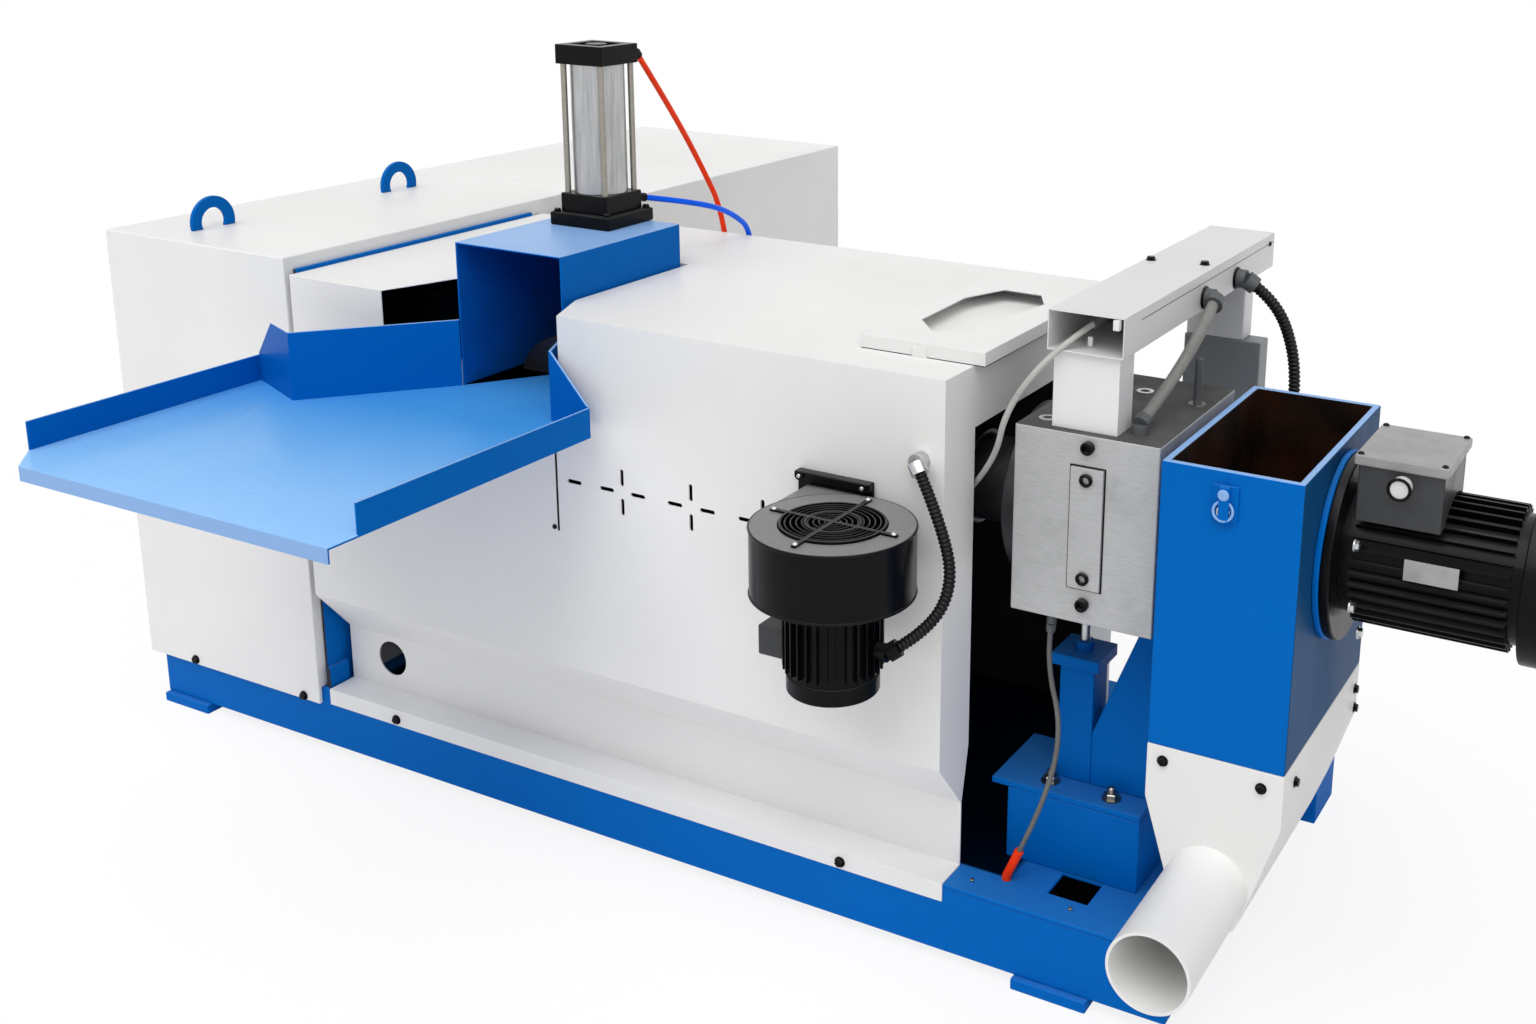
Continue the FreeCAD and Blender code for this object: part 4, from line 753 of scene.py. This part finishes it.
CORDS = {
    "air_tube_red": (RED_ROUTE, 680, 12, RED_TUBE, "medium", 0),
    "air_tube_blue": (BLUE_ROUTE, 511, 12, BLUE_TUBE, "medium", 0),
    "die_conduit": (DIE_ROUTE, 318, 20, GREY_RUBBER, "stiff", 0),
    "cutter_conduit": (CUTTER_ROUTE, 403, 22, BLACK_RUBBER, "medium", 8.0),
    "heater_lead": (WIRE_ROUTE, 446, 10, PALE_WIRE, "medium", 0),
    "earth_cable": (EARTH_ROUTE, 441, 9, EARTH_WIRE, "medium", 0),
    "blower_conduit": (BLOWER_ROUTE, 316, 20, BLACK_RUBBER, "medium", 7.0),
}
for cord_name, cord_facts in CORDS.items():
    lay_cord(cord_name, *cord_facts)

make_world()
make_sun("key", *KEY_SUN)
make_sun("fill", *FILL_SUN)
make_floor()


# Tests of a face's middle and normal choose the regions of a piece; sizes are in metres.
# FACING is the least part of a normal along an axis for a face that looks that way
FACING = 0.7
TOP_DEPTH = 0.004
SHEET = 0.004
THIN_SHEET = 0.001


def inside(node, wall):
    """A test for the upright faces that lie within a node's walls."""
    low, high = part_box(node)

    def test(middle, normal):
        within = all(low[axis] + wall < middle[axis] < high[axis] - wall for axis in (0, 1))
        return within and abs(normal.z) < FACING

    return test


def on_top(node):
    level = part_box(node)[1][2] - TOP_DEPTH
    return lambda middle, normal: normal.z > FACING and middle.z > level


def faces_up(middle, normal):
    return normal.z > FACING


def faces_down(middle, normal):
    return normal.z < -FACING


def faces_near(middle, normal):
    return normal.y < -0.5


def above(level):
    return lambda middle, normal: middle.z > level


def tray_rim(middle, normal):
    """The top edges of the tray's walls."""
    return normal.z > 0.6 and middle.z > 0.89


def tray_lip(middle, normal):
    """The near face of the tray's front lip."""
    return normal.y < -0.5 and middle.y < -0.655


def cover_back(middle, normal):
    """The inner side of the gearbox cover's near wall."""
    return normal.y > FACING and middle.y < 0.6


def cutter_side(middle, normal):
    """The right side of the cutter box."""
    return normal.x > FACING and middle.x > 2.56


def right_fitting(middle, normal):
    """The fitting on the cutter motor's terminal box, to the right of the others."""
    return middle.x > 2.6


def ferrule(middle, normal):
    """The bright end of the blower's conduit on the cover."""
    return 1.9 < middle.x < 2.0 and middle.y < -0.02 and middle.z > 0.9


def black_fitting(middle, normal):
    """The fittings of the blower's motor and of the air cylinder."""
    motor = 1.9 < middle.x < 2.05 and middle.y < -0.1 and middle.z < 0.7
    return motor or middle.x < 1.2 and middle.z > 1.1


def cover_inside(middle, normal):
    """The inner sides of the barrel cover's far wall, near wall and top."""
    far = normal.y < -FACING and middle.y > 0.7
    near = normal.y > FACING and middle.y < 0.07
    return far or near or normal.z < -FACING and middle.z > 0.8


# Nodes whose material isn't that of their slot
LOOKS = {
    "duct_near_leg": WHITE_SATIN,
    "motor_terminal_box": BOX_BODY,
    "latches": BLUE,
    "base_frame": BASE_BLUE,
    "base_deck": BASE_BLUE,
    "ram_tie_rods": ZINC,
}
# Nodes whose folds are rounder or sharper than FOLD, in metres
FOLDS = {
    "barrel_cover": 0.004,
    "feed_tray": 0.0015,
    "ram_tie_rods": 0,
    "ram_tube": 0.001,
    "screen_slide": 0.001,
    "cutter_motor": 0.0008,
    "blower_motor": 0.0006,
    "blower_grille": 0.0008,
    "cable_fittings": 0.0012,
    "latches": 0.001,
    "outlet_pipe": 0,
    "cutter_lid": 0.0012,
    "earth_lug": 0.0008,
}
# Painted shade: insides of the hood, cutter box, barrel cover and gearbox cover, the side
# plate's near face and the cutter box's right side. Painted sheen: tops of the hood, cutter box
# and blower, and the tray's bed, rims and lip
REGIONS = {
    "feed_tray": [(TRAY_TOP, faces_up), (SHEEN_BLUE, tray_rim), (SHEEN_BLUE, tray_lip)],
    "feed_hood": [(SHADED_HOOD_BLUE, inside("feed_hood", THIN_SHEET)), (SHEEN_BLUE, on_top("feed_hood"))],
    "cutter_box": [
        (SHADED_BROWN, inside("cutter_box", SHEET)),
        (SHEEN_BLUE, on_top("cutter_box")),
        (SHADED_SIDE_BLUE, cutter_side),
    ],
    "die_block": [(DIE_TOP, on_top("die_block"))],
    "barrel_cover": [(SHADE, cover_inside)],
    "blower_housing": [(BLOWER_SHEEN, on_top("blower_housing"))],
    "motor_terminal_box": [(BOX_LID, above(0.9945))],
    "latches": [(WHITE, above(1.0))],
    "cable_fittings": [(PALE_GREY, right_fitting), (STEEL, ferrule), (BLACK, black_fitting)],
    "side_plate": [(SHADE, faces_near)],
    "gearbox_cover": [(SHADE, faces_down), (SHADE, cover_back)],
}
for node_name in sorted(set(frame["nodes"]) - set(CORDS)):
    node_fold = FOLDS.get(node_name, FOLD)
    skin(node_name, LOOKS.get(node_name), node_fold, REGIONS.get(node_name, ()))

# Bolts and screws, each at a place in mm and facing along an axis
NEAR, RIGHT, UP, LEFT = (0, -1, 0), (1, 0, 0), (0, 0, 1), (-1, 0, 0)
FLANGE_MIDDLE = (2620, 225, 822)
FLANGE_BOLTS = 8
FLANGE_REACH = 131
RAM_MIDDLE = (1003, 356)
RAM_REACH = 62
BLOWER_MIDDLE = (1866, -165)
GUARD_SCREWS = 4
GUARD_REACH = 110
SEAM_BEVEL = 0.2
SEAM_INSET = 1
SEAM_PROUD = 0.4
SEAM_HEIGHT = 1.4
dark = Kit("dark_bolts_and_shade_strips", BLACK, "black_paint")
bright = Kit("bright_bolts", STEEL, "bright_steel")
for x, z in ((116, 129), (451, 126)):
    dark.hex_bolt(mm(x, -10, z), NEAR, 9)
for x, z in ((712, 134), (1781, 134)):
    dark.hex_bolt(mm(x, -3, z), NEAR, 9)
dark.pan_screw(mm(1172, -19, 657), NEAR, 5)
for z in (973, 920, 753, 707):
    dark.cap_screw(mm(2207.5, 45, z), NEAR, 11)
for x, z in ((2372, 495), (2532, 492)):
    dark.hex_bolt(mm(x, 0, z), NEAR, 8)
for y, z in ((65, 481), (428, 479), (435, 440)):
    dark.hex_bolt(mm(2567, y, z), RIGHT, 8)
zinc = Kit("zinc_studs", ZINC, "bright_steel")
for x, y in ((2109, 170), (2225, 167)):
    zinc.hex_bolt(mm(x, y, 300), UP, 15)
    zinc.turn(mm(x, y, 312), UP, [(0, 0), (7, 0), (7, 9), (5, 11), (0, 11)])
for x, y in ((2026, 34), (2209, 39)):
    zinc.cap_screw(mm(x, y, 152), UP, 4)
zinc.finish()
for x, y in ((2615, 122), (2739, 122), (2615, 278), (2739, 278)):
    dark.pan_screw(mm(x, y, 1012), UP, 5)
flange_x, flange_y, flange_z = FLANGE_MIDDLE
for step in range(FLANGE_BOLTS):
    turn = math.tau * (step + 0.5) / FLANGE_BOLTS
    bolt_y = flange_y + FLANGE_REACH * math.cos(turn)
    bolt_z = flange_z + FLANGE_REACH * math.sin(turn)
    bright.hex_bolt(mm(flange_x, bolt_y, bolt_z), RIGHT, 9)
ram_x, ram_y = RAM_MIDDLE
for side_x in (-1, 1):
    for side_y in (-1, 1):
        dark.hex_bolt(mm(ram_x + side_x * RAM_REACH, ram_y + side_y * RAM_REACH, 1178), UP, 8)
for x, y in ((2140, 465), (2235, 479)):
    dark.hex_bolt(mm(x, y, 1187), UP, 8)
dark.pan_screw(mm(2257, 791, 1170), RIGHT, 5)
for y in (420, 593):
    dark.ring(mm(2259, y, 1143), RIGHT, 18, 2.5, 40)
dark.ring(mm(2680, 97, 974), NEAR, 16, 2.5, 40)
# Thin dark strips: painted shade in the seam of the duct's lid, of the loose lid and in the slit
# of the cover; dark lines round the slide's frame
dark.block((2256.6, 122, 1169.5), (2257.5, 816, 1170.5), SEAM_BEVEL)
lid_low, lid_high = [[1000 * part for part in corner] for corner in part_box("cutter_lid")]
seam_left, seam_right = lid_low[0] + SEAM_INSET, lid_high[0] - SEAM_INSET
seam_near, seam_far = lid_low[1] + SEAM_INSET, lid_high[1] - SEAM_INSET
seam_foot, seam_top = lid_low[2], lid_low[2] + SEAM_HEIGHT
near_seam = (
    (seam_left, lid_low[1] - SEAM_PROUD, seam_foot),
    (seam_right, seam_near, seam_top),
)
side_seam = (
    (seam_right, seam_near, seam_foot),
    (lid_high[0] + SEAM_PROUD, seam_far, seam_top),
)
# Painted shade in the cover's slit
dark.block((1179.4, -19.5, 651), (1183.2, -18.5, 806), SEAM_BEVEL)
for x in (2177.5, 2236.5):
    dark.block((x, 44.5, 732), (x + 2, 45.2, 941), SEAM_BEVEL)
for z in (731.5, 939.5):
    dark.block((2177.5, 44.5, z), (2238.5, 45.2, z + 2), SEAM_BEVEL)
# Painted shade in the seam under the loose lid
dark.block(*near_seam, SEAM_BEVEL)
dark.block(*side_seam, SEAM_BEVEL)
dark.finish()
white = Kit("white_tabs", WHITE, "white_paint")
white.block((2240, 44, 1168), (2250, 56, 1184))
white.block((2181, 88, 1124), (2189, 92, 1140))
white.finish()

# Draw latch of the cutter box and the blank plate on its motor
# The latch's ring and disc are paler blue: painted highlight
latch = Kit("latch_ring", SHEEN_BLUE, "blue_paint")
latch.ring(mm(2448, -9, 931), (0.05, -1, 0.1), 15, 2.2, 48)
latch.turn(mm(2448, -8, 957), NEAR, [(0, 0), (9, 0), (9, 4), (7, 6), (0, 6)])
latch.finish()
plate = Kit("blank_plate", PLATE_GREY, "bright_steel")
plate.block((2697, 95, 836), (2777, 97, 869), 0.4)
plate.finish()

# Blower: further rings of the grille, rims, hub, and the screws of its guard and flange
blower = Kit("blower_trim", BLACK, "black_paint")
blower_x, blower_y = BLOWER_MIDDLE
for step in range(9):
    blower.ring(mm(*BLOWER_MIDDLE, 852), UP, 13 + 9 * step, 1.6)
for level in (848, 738):
    blower.ring(mm(*BLOWER_MIDDLE, level), UP, 132.5, 2.4, 96)
for step in range(GUARD_SCREWS):
    turn = math.tau * step / GUARD_SCREWS
    screw_x = blower_x + GUARD_REACH * math.cos(turn)
    screw_y = blower_y + GUARD_REACH * math.sin(turn)
    bright.pan_screw(mm(screw_x, screw_y, 854), UP, 5)
for x in (1724, 1846):
    blower.turn(mm(x, -39, 865), NEAR, [(0, 0), (8, 0), (8, 3), (0, 3)])
    bright.pan_screw(mm(x, -42, 865), NEAR, 4)
bright.pan_screw(mm(1737, blower_y, 632), LEFT, 5)
hub = [(0, 0), (40, 0), (36, 26), (12, 30), (0, 30)]
blower.turn(mm(*BLOWER_MIDDLE, 812), UP, hub, 32)
blower.finish()
# Washers on the die, and the inner wire of the latch
for x, y in ((2198, 312), (2115, 93), (2299, 289)):
    bright.turn(mm(x, y, 993), UP, [(8, 0), (15, 0), (15, 1.6), (8, 1.6), (8, 0)])
bright.ring(mm(2448, -8, 930), (0.3, -1, 0), 9, 1.5, 32)
bright.finish()

scene.view_settings.view_transform = "Standard"
